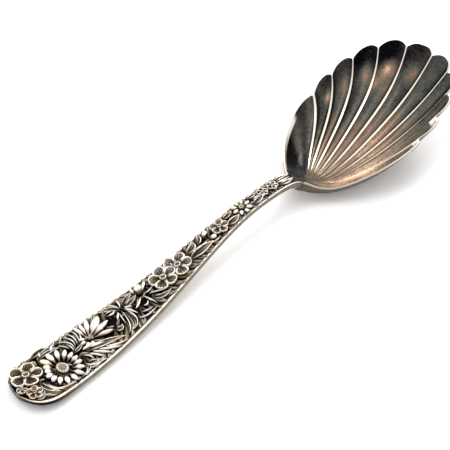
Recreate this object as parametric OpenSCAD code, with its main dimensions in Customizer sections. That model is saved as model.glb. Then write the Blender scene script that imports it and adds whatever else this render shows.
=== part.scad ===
// Sugar spoon: a fluted shell bowl on an arched handle with applied flowers and leaves.
// Millimetres. The table is z = 0, the handle's end is at -Y and the bowl's tip at +Y.

/* [Overall size] */
// Length from the end of the handle to the tip of the bowl
spoon_len = 155; // [145:1:170]

/* [Bowl] */
// Length of the bowl along its own rim, from the heel to the tip
bowl_len = 59.4; // [53:0.2:65]
// Width across the bowl
bowl_w = 41.4; // [37:0.2:46]
// Depth of the bowl below its rim
bowl_depth = 8.1; // [6.5:0.1:9.5]
// Thickness of the bowl's wall
bowl_wall = 1; // [0.8:0.05:1.3]
// Slope of the bowl's rim above the table, in degrees
bowl_tilt = 19.5; // [16:0.5:23]
// Depth of each flute below the ridges beside it
flute_depth = 0.9; // [0.6:0.05:1.2]
// How far the lobes stand out past the ends of the ridges
scallop_depth = 1.5; // [0.9:0.1:2]
// Depth of the flat that is stoned under the bowl, so that it stands
foot_depth = 0.2; // [0.1:0.02:0.3]
// Height of the heel's rim where the handle joins, square to the bowl's own rim
heel_rise = 4.8; // [3.8:0.1:5.8]

/* [Handle] */
// Width of the handle near its end
terminal_w = 15.8; // [14:0.2:18.6]
// Width of the handle at the neck
neck_w = 5.2; // [4.4:0.1:6]
// Thickness of the handle near its end
terminal_thick = 2.2; // [1.8:0.1:2.8]
// Thickness of the neck
neck_thick = 2.8; // [2.3:0.1:3.4]
// Height of the neck's crest above the table
neck_rise = 9.9; // [8.8:0.1:12]
// Rise of the handle's very end above the flat stretch behind it
tip_lift = 1.2; // [0:0.1:2]

/* [Ornament] */
// Width of the plain border beside the terminal's ornament
border_w = 0.8; // [0.6:0.05:1.1]
// Width of the plain border at the neck
neck_border_w = 0.45; // [0.35:0.05:0.55]
// Depth of the ground below the border
ground_sink = 0.35; // [0.2:0.05:0.5]
// Rise of the ground's middle above its edges
ground_crown = 0.3; // [0.1:0.05:0.5]
// Height of the flowers above the ground
flower_h = 1.1; // [0.8:0.05:1.4]
// Height of the leaves above the ground
leaf_h = 0.75; // [0.5:0.05:1]
// Thickness of the solder under each applied piece and in the neck joint
solder_film = 0.06; // [0.05:0.01:0.1]

/* [Hidden] */

polished_silver = [0.82, 0.80, 0.77];
dark_silver = [0.36, 0.34, 0.33];
bright_silver = [0.93, 0.91, 0.88];

// Helpers: a smooth step, a blend, and a step for slopes that scales with the spoon
function smooth(t) = let (c = max(0, min(1, t))) c * c * (3 - 2 * c);
function mix(p, q, t) = p + (q - p) * t;
slope_step = spoon_len / 20000;
function unit(v) = v / norm(v);

// Bowl, in its own frame: x across, y from the heel to the tip, z square to the rim
belly_share = 0.525;
fan_share = 0.127;
heel_power = 1.7;
tip_power = 2.45;
depth_power = 2.8;
ramp_power = 1.8;
ramp_share = 0.17;
shoulder_share = 0.31;
flare_mid_share = 0.28;
flare_side_share = 0.10;
fan_power = 0.78;
bowl_mid = belly_share * bowl_len;
fan_y = fan_share * bowl_len;
ramp_len = ramp_share * bowl_len;
shoulder_w = shoulder_share * bowl_w / 2;
side_lean = atan(bowl_depth * depth_power / (bowl_w / 2));
lobe_swell_share = 0.86;
lobe_power = 2.4;
shoulder_power = 4;
flare_power = 6;
panel_notch_power = 8;
flute_run_share = 0.55;
root_width_share = 1.1;
root_power = 4;
inner_half_w = bowl_w / 2 - (bowl_wall + lobe_swell_share * flute_depth) * sin(side_lean);
root_half_w = root_width_share * neck_w / 2;
bowl_rows = 18;
flute_steps = 8;
panel_steps = 9;
root_steps = 6;
// Where the five ridges of each side end on the rim, as shares of the right angle from tip to side
ridge_shares = [0.108, 0.388, 0.64, 0.844, 1];
panel_share = 0.89;

function reach(y) = y < bowl_mid ? bowl_mid : bowl_len - bowl_mid;
function power_at(y) = y < bowl_mid ? heel_power : tip_power;
// Share of the way from the middle of the bowl to its outline
function spread(x, y) = let (p = power_at(y))
    pow(pow(abs(x) / inner_half_w, p) + pow(abs(y - bowl_mid) / reach(y), p), 1 / p);
// Height of the bowl's inside before the flutes: a hollow with a ramp up to the handle
function hollow(x, y) = -bowl_depth * (1 - pow(spread(x, y), depth_power))
    + heel_rise * pow(max(0, (ramp_len - y) / ramp_len), ramp_power)
    / (1 + pow(x / shoulder_w, shoulder_power));
function hollow_normal(x, y) = unit([
    -(hollow(x + slope_step, y) - hollow(x - slope_step, y)) / (2 * slope_step),
    -(hollow(x, y + slope_step) - hollow(x, y - slope_step)) / (2 * slope_step),
    1]);
// Plan of the outline at an angle from the tip (0) to the heel (180)
function outline(a) = let (p = a > 90 ? heel_power : tip_power,
    x = inner_half_w * pow(sin(a), 2 / p),
    y = bowl_mid + (a > 90 ? -bowl_mid : bowl_len - bowl_mid) * pow(abs(cos(a)), 2 / p))
    [a > 90 ? pow(pow(x, root_power) + pow(root_half_w, root_power), 1 / root_power) : x, y];
// Each column of the bowl's grid is [angle, side, share across its flute or panel, kind]
function lobe(t) = 1 - pow(abs(2 * t - 1), lobe_power);
ridge_angles = [for (s = ridge_shares) 90 * s];
right_flutes = [for (k = [0 : len(ridge_angles) - 2]) for (i = [0 : flute_steps - 1])
    let (t = i / flute_steps) [mix(ridge_angles[k], ridge_angles[k + 1], t), 1, t, 0]];
middle_half = [for (i = [0 : flute_steps / 2 - 1])
    let (t = 0.5 + i / flute_steps) [ridge_angles[0] * (2 * t - 1), 1, t, 0]];
right_panel = [for (i = [0 : panel_steps]) let (t = i / panel_steps)
    [90 + 90 * panel_share * t, 1, t, 1]];
right_side = concat(middle_half, right_flutes, right_panel);
root_line = [for (i = [0 : root_steps]) [180, 1, 1 - 2 * i / root_steps, 2]];
left_side = [for (i = [len(right_side) - 1 : -1 : 1]) let (c = right_side[i]) [c[0], -1, c[2], c[3]]];
columns = concat(right_side, root_line, left_side);

function notch_of(c) = c[3] == 0 ? 1 - lobe(c[2]) : c[3] == 1 ? pow(1 - c[2], panel_notch_power) : 0;
function flute_of(c) = c[3] == 0 ? lobe(c[2]) : c[3] == 1 ? lobe(sqrt(c[2])) : 0;
function rim_point(c) = c[3] == 2 ? [root_half_w * c[2], 0]
    : let (e = outline(c[0]), d = unit(e - [0, fan_y]), r = e - d * scallop_depth * notch_of(c))
    [c[1] * r[0], r[1]];
function flare_of(c) = mix(flare_mid_share, flare_side_share, smooth(c[0] / 90));
function plan_point(c, u) = let (r = rim_point(c), f = flare_of(c))
    [r[0] * ((1 - f) * pow(u, fan_power) + f * pow(u, flare_power)), mix(fan_y, r[1], u)];

// The flat section in which the bowl's heel meets the handle
root_normal = hollow_normal(0, 0);
root_edge_share = 0.48;
function section_under(t, thick) = -thick * mix(root_edge_share, 1, 1 - t * t);
function wall_at(x, y) = mix(bowl_wall, neck_thick,
    (1 - smooth(y / ramp_len)) / (1 + pow(x / shoulder_w, shoulder_power)));
function inside_point(c, u) = let (p = plan_point(c, u), n = hollow_normal(p[0], p[1]),
    root = [p[0], 0, heel_rise])
    c[3] == 2 && u == 1 ? root
    : [p[0], p[1], hollow(p[0], p[1])] - n * flute_depth * smooth(u / flute_run_share) * flute_of(c);
function outside_point(c, u) = let (p = plan_point(c, u))
    c[3] == 2 && u == 1 ? inside_point(c, u) + root_normal * section_under(c[2], neck_thick)
    : inside_point(c, u) - hollow_normal(p[0], p[1]) * wall_at(p[0], p[1]);

// The bowl's frame is tilted and lifted until its underside dips below the table by the foot
tip_lean = bowl_tilt + atan(bowl_depth * depth_power / (bowl_len - bowl_mid));
heel_y = spoon_len / 2 - bowl_len * cos(bowl_tilt) - (bowl_wall + flute_depth) * sin(tip_lean);
function tilted(p) = [p[0], p[1] * cos(bowl_tilt) - p[2] * sin(bowl_tilt),
    p[1] * sin(bowl_tilt) + p[2] * cos(bowl_tilt)];
row_shares = [for (i = [0 : bowl_rows]) i / bowl_rows];
inside_grid = [for (i = [1 : bowl_rows]) for (c = columns) tilted(inside_point(c, row_shares[i]))];
outside_grid = [for (i = [1 : bowl_rows]) for (c = columns) tilted(outside_point(c, row_shares[i]))];
fan_in = tilted([0, fan_y, hollow(0, fan_y)]);
fan_out = tilted([0, fan_y, hollow(0, fan_y)] - hollow_normal(0, fan_y) * wall_at(0, fan_y));
heel_z = -min([for (p = outside_grid) p[2]]) - foot_depth;
function placed(p) = [p[0], p[1] + heel_y, max(0, p[2] + heel_z)];

// Handle: top edges follow an arch from the flat terminal up to the crest and down to the heel
end_y = -spoon_len / 2;
root_top = tilted([0, 0, heel_rise]) + [0, heel_y, heel_z];
root_dir = tilted([0, root_normal[2], -root_normal[1]]);
root_slope = root_dir[2] / root_dir[1];
handle_len = root_top[1] - end_y;
flat_share = 0.16;
crest_share = 0.837;
arch_power = 1.25;
cap_share = 0.078;
cap_power = 2.4;
blunt_share = 0.02;
taper_start_share = 0.077;
taper_share = 0.76;
taper_power = 1.05;
flat_y = end_y + flat_share * handle_len;
crest_y = end_y + crest_share * handle_len;
drop_h = neck_rise - root_top[2];
drop_power = -root_slope * (root_top[1] - crest_y) / drop_h;
function arch(y) = y <= flat_y ? terminal_thick + tip_lift * pow((flat_y - y) / (flat_y - end_y), 2)
    : y <= crest_y ? mix(terminal_thick, neck_rise,
        smooth(pow((y - flat_y) / (crest_y - flat_y), arch_power)))
    : neck_rise - drop_h * pow((y - crest_y) / (root_top[1] - crest_y), drop_power);
function arch_slope(y) = let (q = min(y, root_top[1] - slope_step))
    (arch(q + slope_step) - arch(q - slope_step)) / (2 * slope_step);
// Half-width at a share along the handle, for a given terminal and neck width
function tapered(s, wide, narrow) = let (
    t = pow(max(0, min(1, (s - taper_start_share) / taper_share)), taper_power),
    body = mix(wide, narrow, smooth(t)) / 2)
    s >= cap_share ? body
    : body * pow(1 - pow((1 - blunt_share) * (cap_share - s) / cap_share, cap_power), 1 / cap_power);
root_flare_share = 0.15;
function half_w(s) = tapered(s, terminal_w, neck_w)
    + (root_half_w - neck_w / 2) * smooth((s - 1 + root_flare_share) / root_flare_share);
function neckness(s) = smooth((s - taper_start_share) / taper_share);
border_limit_share = 0.4;
function border(s) = min(mix(border_w, neck_border_w, neckness(s)), half_w(s) * border_limit_share);
function thick(s) = mix(terminal_thick, neck_thick, neckness(s));
// The sunk ground runs out smoothly before the heel
ground_end_share = 0.985;
ground_run_share = 0.04;
function sunk(s) = smooth((ground_end_share - s) / ground_run_share);
function ground(s, t) = let (b = 1 - border(s) / half_w(s))
    abs(t) >= b ? 0
    : sunk(s) * (-ground_sink + ground_crown * (1 - pow(t / b, 2)) * half_w(s) / (terminal_w / 2));
// Thicknesses and heights are upright on the terminal and square to the arch past it
function face_normal(y) = y <= flat_y ? [0, 0, 1] : unit([0, -arch_slope(y), 1]);
function on_face(s, t, h) = let (y = end_y + s * handle_len)
    [t * half_w(s), y, arch(y)] + face_normal(y) * (ground(s, t) + h);

// Stations along the handle crowd round the arc of its end
cap_steps = 9;
body_steps = 46;
function cap_station(i) = cap_share * (1 - cos(90 * i / cap_steps));
stations = concat([for (i = [0 : cap_steps - 1]) cap_station(i)],
    [for (i = [0 : body_steps]) mix(cap_share, 1, i / body_steps)]);
ground_steps = 6;
under_steps = 4;
border_slope_share = 0.25;
function top_shares(s) = let (b = 1 - border(s) / half_w(s), c = b - border_slope_share * (1 - b))
    concat([-1, -b], [for (i = [0 : ground_steps]) mix(-c, c, i / ground_steps)], [b, 1]);
function under_point(s, t) = let (y = end_y + s * handle_len,
    p = [t * half_w(s), y, arch(y)] + face_normal(y) * section_under(t, thick(s)))
    [p[0], p[1], max(0, p[2])];
function handle_ring(s) = concat(
    [for (t = top_shares(s)) on_face(s, t, 0)],
    [for (i = [0 : under_steps]) under_point(s, mix(1, -1, i / under_steps))]);
// The last ring is the heel's own section, one solder film short of it
root_shift = -unit(root_dir) * solder_film;
root_up = tilted(root_normal);
heel_ring = concat(
    [for (t = top_shares(1)) root_top + [t * root_half_w, 0, 0] + root_shift],
    [for (i = [0 : under_steps]) let (t = mix(1, -1, i / under_steps))
        root_top + [t * root_half_w, 0, 0] + root_up * section_under(t, neck_thick) + root_shift]);
function last(v) = v[len(v) - 1];
function middle(ring) = [for (p = ring) 1 / len(ring)] * ring;

// The ornament is drawn on a sheet whose two directions are shares of the handle's length,
// and the sheet is stretched with the handle, so a flower keeps its place in the border.
sheet_wide_share = 0.1664;
sheet_narrow_share = 0.0534;
function on_sheet(p, h) = on_face(p[0], p[1] / tapered(p[0], sheet_wide_share, sheet_narrow_share)
    * tapered(p[0], terminal_w, neck_w) / half_w(p[0]), h + solder_film);

// Faces of a grid of rows that is open at both ends, and of its flat ends
function strip_faces(rows, cols, start) = [for (i = [0 : rows - 2]) for (j = [0 : cols - 2])
    let (a = start + i * cols + j) each [[a, a + 1, a + cols], [a + 1, a + cols + 1, a + cols]]];
function ring_faces(rings, n, start) = [for (i = [0 : rings - 2]) for (j = [0 : n - 1])
    let (a = start + i * n + j, b = start + i * n + (j + 1) % n) each [[a, a + n, b], [b, a + n, b + n]]];
function fan_faces(centre, first, n) = [for (j = [0 : n - 1]) [centre, first + j, first + (j + 1) % n]];
function turned(faces) = [for (f = faces) [f[2], f[1], f[0]]];

// A leaf or petal: a raised blade on a curved line, with a thin edge all round.
// line has three points of the sheet, width is a share of the handle's length.
leaf_steps = 9;
petal_steps = 5;
function bend(line, u) = line[0] * (1 - u) * (1 - u) + line[1] * 2 * u * (1 - u) + line[2] * u * u;
function bend_dir(line, u) = unit((line[1] - line[0]) * (1 - u) + (line[2] - line[1]) * u);
leaf_section_shares = [0, 0.72, 1, 0.62, 1, 0.72, 0];
petal_section_shares = [0, 0.8, 0.9, 1, 0.9, 0.8, 0];
leaf_tip_share = 0.08;
leaf_bias_power = 0.85;
leaf_power = 0.9;
petal_tip_share = 0.3;
petal_reach_shares = [0.12, 0.97];
petal_bias_power = 1.5;
petal_power = 0.7;
rise_reach_shares = [0.06, 0.94];
rise_end_share = 0.45;
rise_power = 0.6;
function leaf_width(u) = max(leaf_tip_share, pow(sin(180 * pow(u, leaf_bias_power)), leaf_power));
function petal_width(u) = let (q = mix(petal_reach_shares[0], petal_reach_shares[1], u))
    max(petal_tip_share, pow(sin(180 * pow(q, petal_bias_power)), petal_power));
function blade_rise(u) = mix(rise_end_share, 1,
    pow(sin(180 * mix(rise_reach_shares[0], rise_reach_shares[1], u)), rise_power));
module blade(line, width, h, section, petal = false) {
    n = len(section);
    steps = petal ? petal_steps : leaf_steps;
    points = [for (i = [0 : steps]) for (j = [0 : n - 1])
        let (u = i / steps, v = 2 * j / (n - 1) - 1, d = bend_dir(line, u),
            w = width / 2 * (petal ? petal_width(u) : leaf_width(u)),
            p = bend(line, u) + [-d[1], d[0]] * v * w)
        on_sheet(p, h * blade_rise(u) * section[j])];
    last_row = steps * n;
    underside = [for (i = [0 : steps - 1]) let (a = i * n, b = a + n - 1)
        each [[a, a + n, b], [b, a + n, b + n]]];
    polyhedron(points, concat(turned(strip_faces(steps + 1, n, 0)), turned(underside),
        [for (j = [1 : n - 2]) [0, j, j + 1]],
        [for (j = [1 : n - 2]) [last_row, last_row + j + 1, last_row + j]]));
}
// Blades from a table of [a0, b0, a1, b1, a2, b2, width], all shares of the handle's length
module leaves(shares, h) {
    for (s = shares) {
        blade([[s[0], s[1]], [s[2], s[3]], [s[4], s[5]]], s[6], h, leaf_section_shares);
    }
}
// Petals of a daisy: straight blades from an inner to an outer radius
module petal_ring(centre, inner, outer, angles, width, h, kept_clear = []) {
    for (a = angles) {
        d = [cos(a), sin(a)];
        tip = min(outer, clear_reach(centre, d, kept_clear, outer));
        line = [centre + d * inner, centre + d * (inner + tip) / 2, centre + d * tip];
        blade(line, width, h, petal_section_shares, true);
    }
}
// How far a ray from a centre runs before it meets a circle [a, b, radius]
function clear_reach(centre, d, other, far) = len(other) == 0 ? far
    : let (o = [other[0], other[1]] - centre, m = o * d, q = other[2] * other[2] - o * o + m * m)
    q > 0 && m > 0 ? min(far, m - sqrt(q)) : far;
// A cupped blossom: petals with raised rims round a small ring
ring_shares = [0.12, 0.24, 0.38, 0.6, 0.84, 1];
ring_rise_shares = [0.55, 0.9, 0.45, 0.5, 1, 0];
waist_share = 0.7;
rib_share = 0.55;
base_share = 0.5;
centre_rise_share = 0.45;
waist_power = 0.5;
module blossom(shares, petals, turn, h, petal_points, kept_clear = []) {
    centre = [shares[0], shares[1]];
    n = petals * petal_points;
    rings = len(ring_shares);
    outline_at = [for (j = [0 : n - 1]) let (a = turn + 360 * j / n, d = [cos(a), sin(a)],
        lobed = pow(abs(sin(petals * (a - turn) / 2)), waist_power))
        [d, min(shares[2] * mix(waist_share, 1, lobed),
            clear_reach(centre, d, kept_clear, shares[2])), lobed]];
    tops = [for (k = [0 : rings - 1]) for (o = outline_at)
        on_sheet(centre + o[0] * o[1] * ring_shares[k],
            h * ring_rise_shares[k] * (k < 2 ? 1 : mix(rib_share, 1, o[2])))];
    bases = [for (o = outline_at) on_sheet(centre + o[0] * o[1] * base_share, 0)];
    points = concat(tops, bases, [on_sheet(centre, h * centre_rise_share), on_sheet(centre, 0)]);
    base = rings * n;
    polyhedron(points, concat(ring_faces(rings, n, 0), fan_faces(base + n, 0, n),
        [for (j = [0 : n - 1]) let (a = (rings - 1) * n + j, b = (rings - 1) * n + (j + 1) % n)
            each [[a, base + j, b], [b, base + j, base + (j + 1) % n]]],
        turned(fan_faces(base + n + 1, base, n))));
}

module bowl() {
    n = len(columns);
    count = bowl_rows * n;
    points = concat([for (p = concat(inside_grid, outside_grid)) placed(p)],
        [placed(fan_in), placed(fan_out)]);
    color(dark_silver) polyhedron(points, concat(
        ring_faces(bowl_rows, n, 0), turned(ring_faces(bowl_rows, n, count)),
        fan_faces(2 * count, 0, n), turned(fan_faces(2 * count + 1, count, n)),
        [for (j = [0 : n - 1]) let (a = (bowl_rows - 1) * n + j, b = (bowl_rows - 1) * n + (j + 1) % n)
            each [[a, a + count, b], [b, a + count, b + count]]]));
}
module handle() {
    rings = concat([for (i = [0 : len(stations) - 2]) handle_ring(stations[i])], [heel_ring]);
    n = len(rings[0]);
    count = len(rings) * n;
    color(polished_silver) polyhedron(
        concat([for (r = rings) each r], [middle(rings[0]), middle(last(rings))]),
        concat(ring_faces(len(rings), n, 0), fan_faces(count, 0, n),
            turned(fan_faces(count + 1, count - n, n))));
}

// Places of the ornament on its sheet: [along, across, radius] of each flower
tip_blossom_shares = [0.0475, -0.030, 0.040];
first_border_shares = [0.0140, 0.003, 0.0115];
second_border_shares = [0.0315, 0.029, 0.0160];
great_daisy_shares = [0.1245, 0.0135, 0.0500];
great_inner_share = 0.0225;
great_eye_share = 0.0185;
great_petals = 17;
great_petal_width_share = 0.0118;
half_daisy_shares = [0.2285, -0.0095, 0.066];
// Direction of the half daisy's middle petal, in degrees
half_turn = -28;
// From the middle petal to the outermost, in degrees
half_spread = 70;
half_inner_share = 0.25;
half_petal_width_share = 0.26;
half_outer_shares = [0.85, 0.2];
half_back_shares = [0.55, 0.17];
// Between the petals behind, in degrees
half_back_spread = 42;
half_eye_share = 0.16;
lower_blossom_shares = [0.4865, -0.0055, 0.037];
upper_blossom_shares = [0.5425, -0.0045, 0.035];
small_blossom_shares = [0.6965, -0.001, 0.0235];
star_daisy_shares = [0.7815, -0.001, 0.0215];
star_petals = 7;
star_inner_share = 0.36;
star_petal_width_share = 0.46;
star_eye_share = 0.28;
first_neck_shares = [0.864, -0.002, 0.0175];
second_neck_shares = [0.903, -0.001, 0.0175];
piece_gap_share = 0.0012;
// Heights of the lesser flowers and leaves, as shares of the great ones
low_rise_share = 0.75;
mid_rise_share = 0.9;

// Leaves and buds: [along, across] of the foot, the bend and the tip, then the width
edge_acanthus_shares = [
    [0.0835, -0.067, 0.1245, -0.078, 0.1485, -0.065, 0.014],
    [0.0975, -0.051, 0.1395, -0.062, 0.1625, -0.042, 0.013],
    [0.0530, 0.050, 0.0875, 0.0735, 0.1385, 0.0715, 0.010],
    [0.1600, 0.056, 0.1840, 0.070, 0.2165, 0.063, 0.013]];
// The feather leaves follow the half daisy's outermost petal: directions from its centre are shares
// of the room from that petal to the limit, reaches and widths are shares of its radius.
// Direction that the feather leaves stop short of, in degrees
feather_limit = -170;
// Room for which the leaves' widths are drawn, in degrees
feather_room = 72;
feather_shares = [
    [0.917, 0.550, 0.535, 0.815, 0.035, 0.832, 0.182],
    [0.776, 0.827, 0.625, 1.158, 0.367, 1.045, 0.167]];
long_acanthus_shares = [
    [0.1955, 0.016, 0.2415, 0.023, 0.2965, 0.056, 0.020],
    [0.1855, 0.036, 0.2155, 0.042, 0.2535, 0.062, 0.012]];
crossing_shares = [
    [0.343, -0.020, 0.332, -0.052, 0.300, -0.060, 0.015],
    [0.348, -0.006, 0.364, 0.043, 0.319, 0.050, 0.015],
    [0.354, -0.021, 0.374, -0.033, 0.392, -0.046, 0.009],
    [0.357, -0.013, 0.372, -0.010, 0.386, -0.015, 0.009],
    [0.355, -0.005, 0.369, 0.006, 0.376, 0.014, 0.008],
    [0.339, -0.011, 0.325, -0.008, 0.311, -0.002, 0.009],
    [0.296, 0.024, 0.306, 0.028, 0.320, 0.024, 0.014]];
bellflower_shares = [
    [0.405, -0.031, 0.421, -0.034, 0.439, -0.039, 0.021],
    [0.407, -0.017, 0.419, -0.011, 0.434, -0.016, 0.009]];
side_bud_shares = [
    [0.3845, 0.014, 0.3965, 0.018, 0.4115, 0.017, 0.014],
    [0.3825, 0.029, 0.3935, 0.043, 0.4225, 0.046, 0.010],
    [0.4220, 0.010, 0.4260, 0.018, 0.4430, 0.034, 0.012]];
stem_leaf_shares = [
    [0.585, -0.012, 0.602, -0.029, 0.629, -0.022, 0.013],
    [0.582, 0.013, 0.614, 0.023, 0.653, 0.020, 0.009],
    [0.590, 0.002, 0.618, 0.004, 0.637, 0.000, 0.009]];
stem_bud_shares = [
    [0.643, -0.018, 0.654, -0.019, 0.664, -0.017, 0.012],
    [0.648, 0.008, 0.658, 0.010, 0.668, 0.009, 0.011]];
leaf_pair_shares = [
    [0.727, -0.010, 0.742, -0.020, 0.757, -0.015, 0.009],
    [0.726, 0.008, 0.742, 0.021, 0.758, 0.015, 0.009],
    [0.809, -0.010, 0.824, -0.019, 0.843, -0.013, 0.009],
    [0.810, 0.009, 0.824, 0.018, 0.843, 0.012, 0.009]];
neck_leaf_shares = [
    [0.924, -0.007, 0.940, -0.013, 0.962, -0.007, 0.008],
    [0.924, 0.007, 0.940, 0.014, 0.962, 0.008, 0.008]];

module tip_blossom() {
    color(polished_silver) blossom(tip_blossom_shares, 5, 61, flower_h, 9);
}
module border_blossoms() {
    t = tip_blossom_shares;
    room = [t[0], t[1], t[2] + piece_gap_share];
    color(polished_silver) {
        blossom(first_border_shares, 5, 14, flower_h * low_rise_share, 5, room);
        blossom(second_border_shares, 5, 46, flower_h * low_rise_share, 5, room);
    }
}
module great_daisy() {
    g = great_daisy_shares;
    t = tip_blossom_shares;
    angles = [for (k = [0 : great_petals - 1]) 360 * k / great_petals];
    color(bright_silver) petal_ring([g[0], g[1]], great_inner_share, g[2], angles,
        great_petal_width_share, flower_h, [t[0], t[1], t[2] + piece_gap_share]);
}
module great_daisy_eye() {
    g = great_daisy_shares;
    color(polished_silver) blossom([g[0], g[1], great_eye_share], 11, 0, flower_h * mid_rise_share, 4);
}
module edge_acanthus() {
    color(polished_silver) leaves(edge_acanthus_shares, leaf_h);
}
// Seven petals spread upward, the outer two shorter, and three small ones behind
module half_daisy() {
    c = [half_daisy_shares[0], half_daisy_shares[1]];
    r = half_daisy_shares[2];
    inner = r * half_inner_share;
    step = half_spread / 3;
    low = flower_h * low_rise_share;
    color(bright_silver) {
        petal_ring(c, inner, r, [for (k = [-2 : 2]) half_turn + step * k],
            r * half_petal_width_share, flower_h);
        petal_ring(c, inner, r * half_outer_shares[0], [for (k = [-3, 3]) half_turn + step * k],
            r * half_outer_shares[1], flower_h);
        petal_ring(c, inner, r * half_back_shares[0],
            [for (k = [-1 : 1]) 180 + half_turn + half_back_spread * k], r * half_back_shares[1], low);
        blossom([c[0], c[1], r * half_eye_share], 7, 0, low, 3);
    }
}
module feather_leaves() {
    c = [half_daisy_shares[0], half_daisy_shares[1]];
    r = half_daisy_shares[2];
    outermost = half_turn - half_spread;
    room = outermost - feather_limit;
    function at(turn, reach) = c + r * reach * [cos(outermost - room * turn), sin(outermost - room * turn)];
    color(polished_silver) for (f = feather_shares) {
        blade([at(f[0], f[1]), at(f[2], f[3]), at(f[4], f[5])],
            r * f[6] * room / feather_room, leaf_h, leaf_section_shares);
    }
}
module long_acanthus() {
    color(polished_silver) leaves(long_acanthus_shares, leaf_h);
}
module crossing_leaves() {
    color(polished_silver) leaves(crossing_shares, leaf_h);
}
module bellflower() {
    color(bright_silver) leaves(bellflower_shares, flower_h * mid_rise_share);
}
module side_bud() {
    color(polished_silver) leaves(side_bud_shares, leaf_h);
}
module lower_blossom() {
    color(bright_silver) blossom(lower_blossom_shares, 5, 33, flower_h, 9);
}
module upper_blossom() {
    l = lower_blossom_shares;
    color(bright_silver) blossom(upper_blossom_shares, 5, 2, flower_h * mid_rise_share, 9,
        [l[0], l[1], l[2] + piece_gap_share]);
}
module stem_leaves() {
    color(polished_silver) leaves(stem_leaf_shares, leaf_h);
}
module stem_buds() {
    color(bright_silver) leaves(stem_bud_shares, leaf_h);
}
module small_blossom() {
    color(bright_silver) blossom(small_blossom_shares, 5, 54, flower_h * mid_rise_share, 6);
}
module leaf_pairs() {
    color(polished_silver) leaves(leaf_pair_shares, leaf_h);
}
module star_daisy() {
    s = star_daisy_shares;
    low = flower_h * low_rise_share;
    color(bright_silver) {
        petal_ring([s[0], s[1]], s[2] * star_inner_share, s[2],
            [for (k = [0 : star_petals - 1]) 360 * k / star_petals], s[2] * star_petal_width_share, low);
        blossom([s[0], s[1], s[2] * star_eye_share], 6, 0, low, 3);
    }
}
module neck_blossoms() {
    color(polished_silver) {
        blossom(first_neck_shares, 5, 36, flower_h * low_rise_share, 6);
        blossom(second_neck_shares, 5, 0, flower_h * low_rise_share, 6);
    }
}
module neck_leaves() {
    color(polished_silver) leaves(neck_leaf_shares, leaf_h * low_rise_share);
}

bowl();
handle();
tip_blossom();
border_blossoms();
great_daisy();
great_daisy_eye();
edge_acanthus();
half_daisy();
feather_leaves();
long_acanthus();
crossing_leaves();
bellflower();
side_bud();
lower_blossom();
upper_blossom();
stem_leaves();
stem_buds();
small_blossom();
leaf_pairs();
star_daisy();
neck_blossoms();
neck_leaves();
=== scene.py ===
"""Sugar spoon in oxidised and polished silver: a fluted shell bowl and a handle covered with flowers.

Every visible piece is a closed surface worked out from the spoon's own sizes, in metres, in the frame
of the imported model: the table is z = 0, the handle's end is at -Y and the bowl's tip at +Y.
"""

import math

import bpy
import numpy as np
from mathutils import Matrix, Vector


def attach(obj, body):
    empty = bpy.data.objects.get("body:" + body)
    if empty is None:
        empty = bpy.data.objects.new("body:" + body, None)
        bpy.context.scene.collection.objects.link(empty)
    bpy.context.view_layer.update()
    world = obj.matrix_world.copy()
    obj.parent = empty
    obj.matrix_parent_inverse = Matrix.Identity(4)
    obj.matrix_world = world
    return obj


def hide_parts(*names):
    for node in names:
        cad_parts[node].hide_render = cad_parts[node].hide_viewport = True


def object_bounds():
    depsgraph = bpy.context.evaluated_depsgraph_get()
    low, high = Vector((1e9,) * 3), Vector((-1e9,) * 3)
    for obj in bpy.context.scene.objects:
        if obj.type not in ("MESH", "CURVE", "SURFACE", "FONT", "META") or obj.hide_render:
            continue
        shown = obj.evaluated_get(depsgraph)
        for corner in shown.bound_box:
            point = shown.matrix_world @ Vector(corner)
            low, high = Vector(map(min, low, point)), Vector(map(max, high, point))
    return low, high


bl_info = {
    "name": "Sugar spoon",
    "version": (1, 0, 0),
    "blender": (4, 5, 0),
    "location": "View3D > Sidebar > Spoon",
    "description": "Builds a fluted silver sugar spoon around its packed model",
    "category": "Object",
}

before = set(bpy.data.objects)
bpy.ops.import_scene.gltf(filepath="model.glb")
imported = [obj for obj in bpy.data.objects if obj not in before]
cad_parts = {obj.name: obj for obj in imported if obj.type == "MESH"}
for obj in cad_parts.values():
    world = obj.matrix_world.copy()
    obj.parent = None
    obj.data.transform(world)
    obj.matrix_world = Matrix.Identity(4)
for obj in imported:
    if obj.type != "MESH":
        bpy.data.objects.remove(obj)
CAD_BOX = [list(corner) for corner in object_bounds()]
SPOON_LEN = CAD_BOX[1][1] - CAD_BOX[0][1]
MM = 0.001


# Sizes and colours that a user would change

def length(name, description, millimetres):
    """A size property whose default is given in millimetres."""
    return bpy.props.FloatProperty(name=name, description=description, default=millimetres * MM,
                                   min=0, precision=5, subtype="DISTANCE", unit="LENGTH")


def angle(name, description, degrees):
    """An angle property whose default is given in degrees."""
    return bpy.props.FloatProperty(name=name, description=description, default=math.radians(degrees),
                                   subtype="ANGLE", unit="ROTATION")


def hex_to_linear(text):
    """Turns an sRGB hex colour into linear red, green, blue and an alpha of one."""
    parts = np.array([int(text[i:i + 2], 16) / 255 for i in (1, 3, 5)])
    linear = np.where(parts <= 0.04045, parts / 12.92, ((parts + 0.055) / 1.055) ** 2.4)
    return (*linear.tolist(), 1.0)


def colour(name, description, text):
    """A colour property whose default is an sRGB hex value."""
    return bpy.props.FloatVectorProperty(name=name, description=description, size=4, min=0, max=1,
                                         subtype="COLOR", default=hex_to_linear(text))


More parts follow.
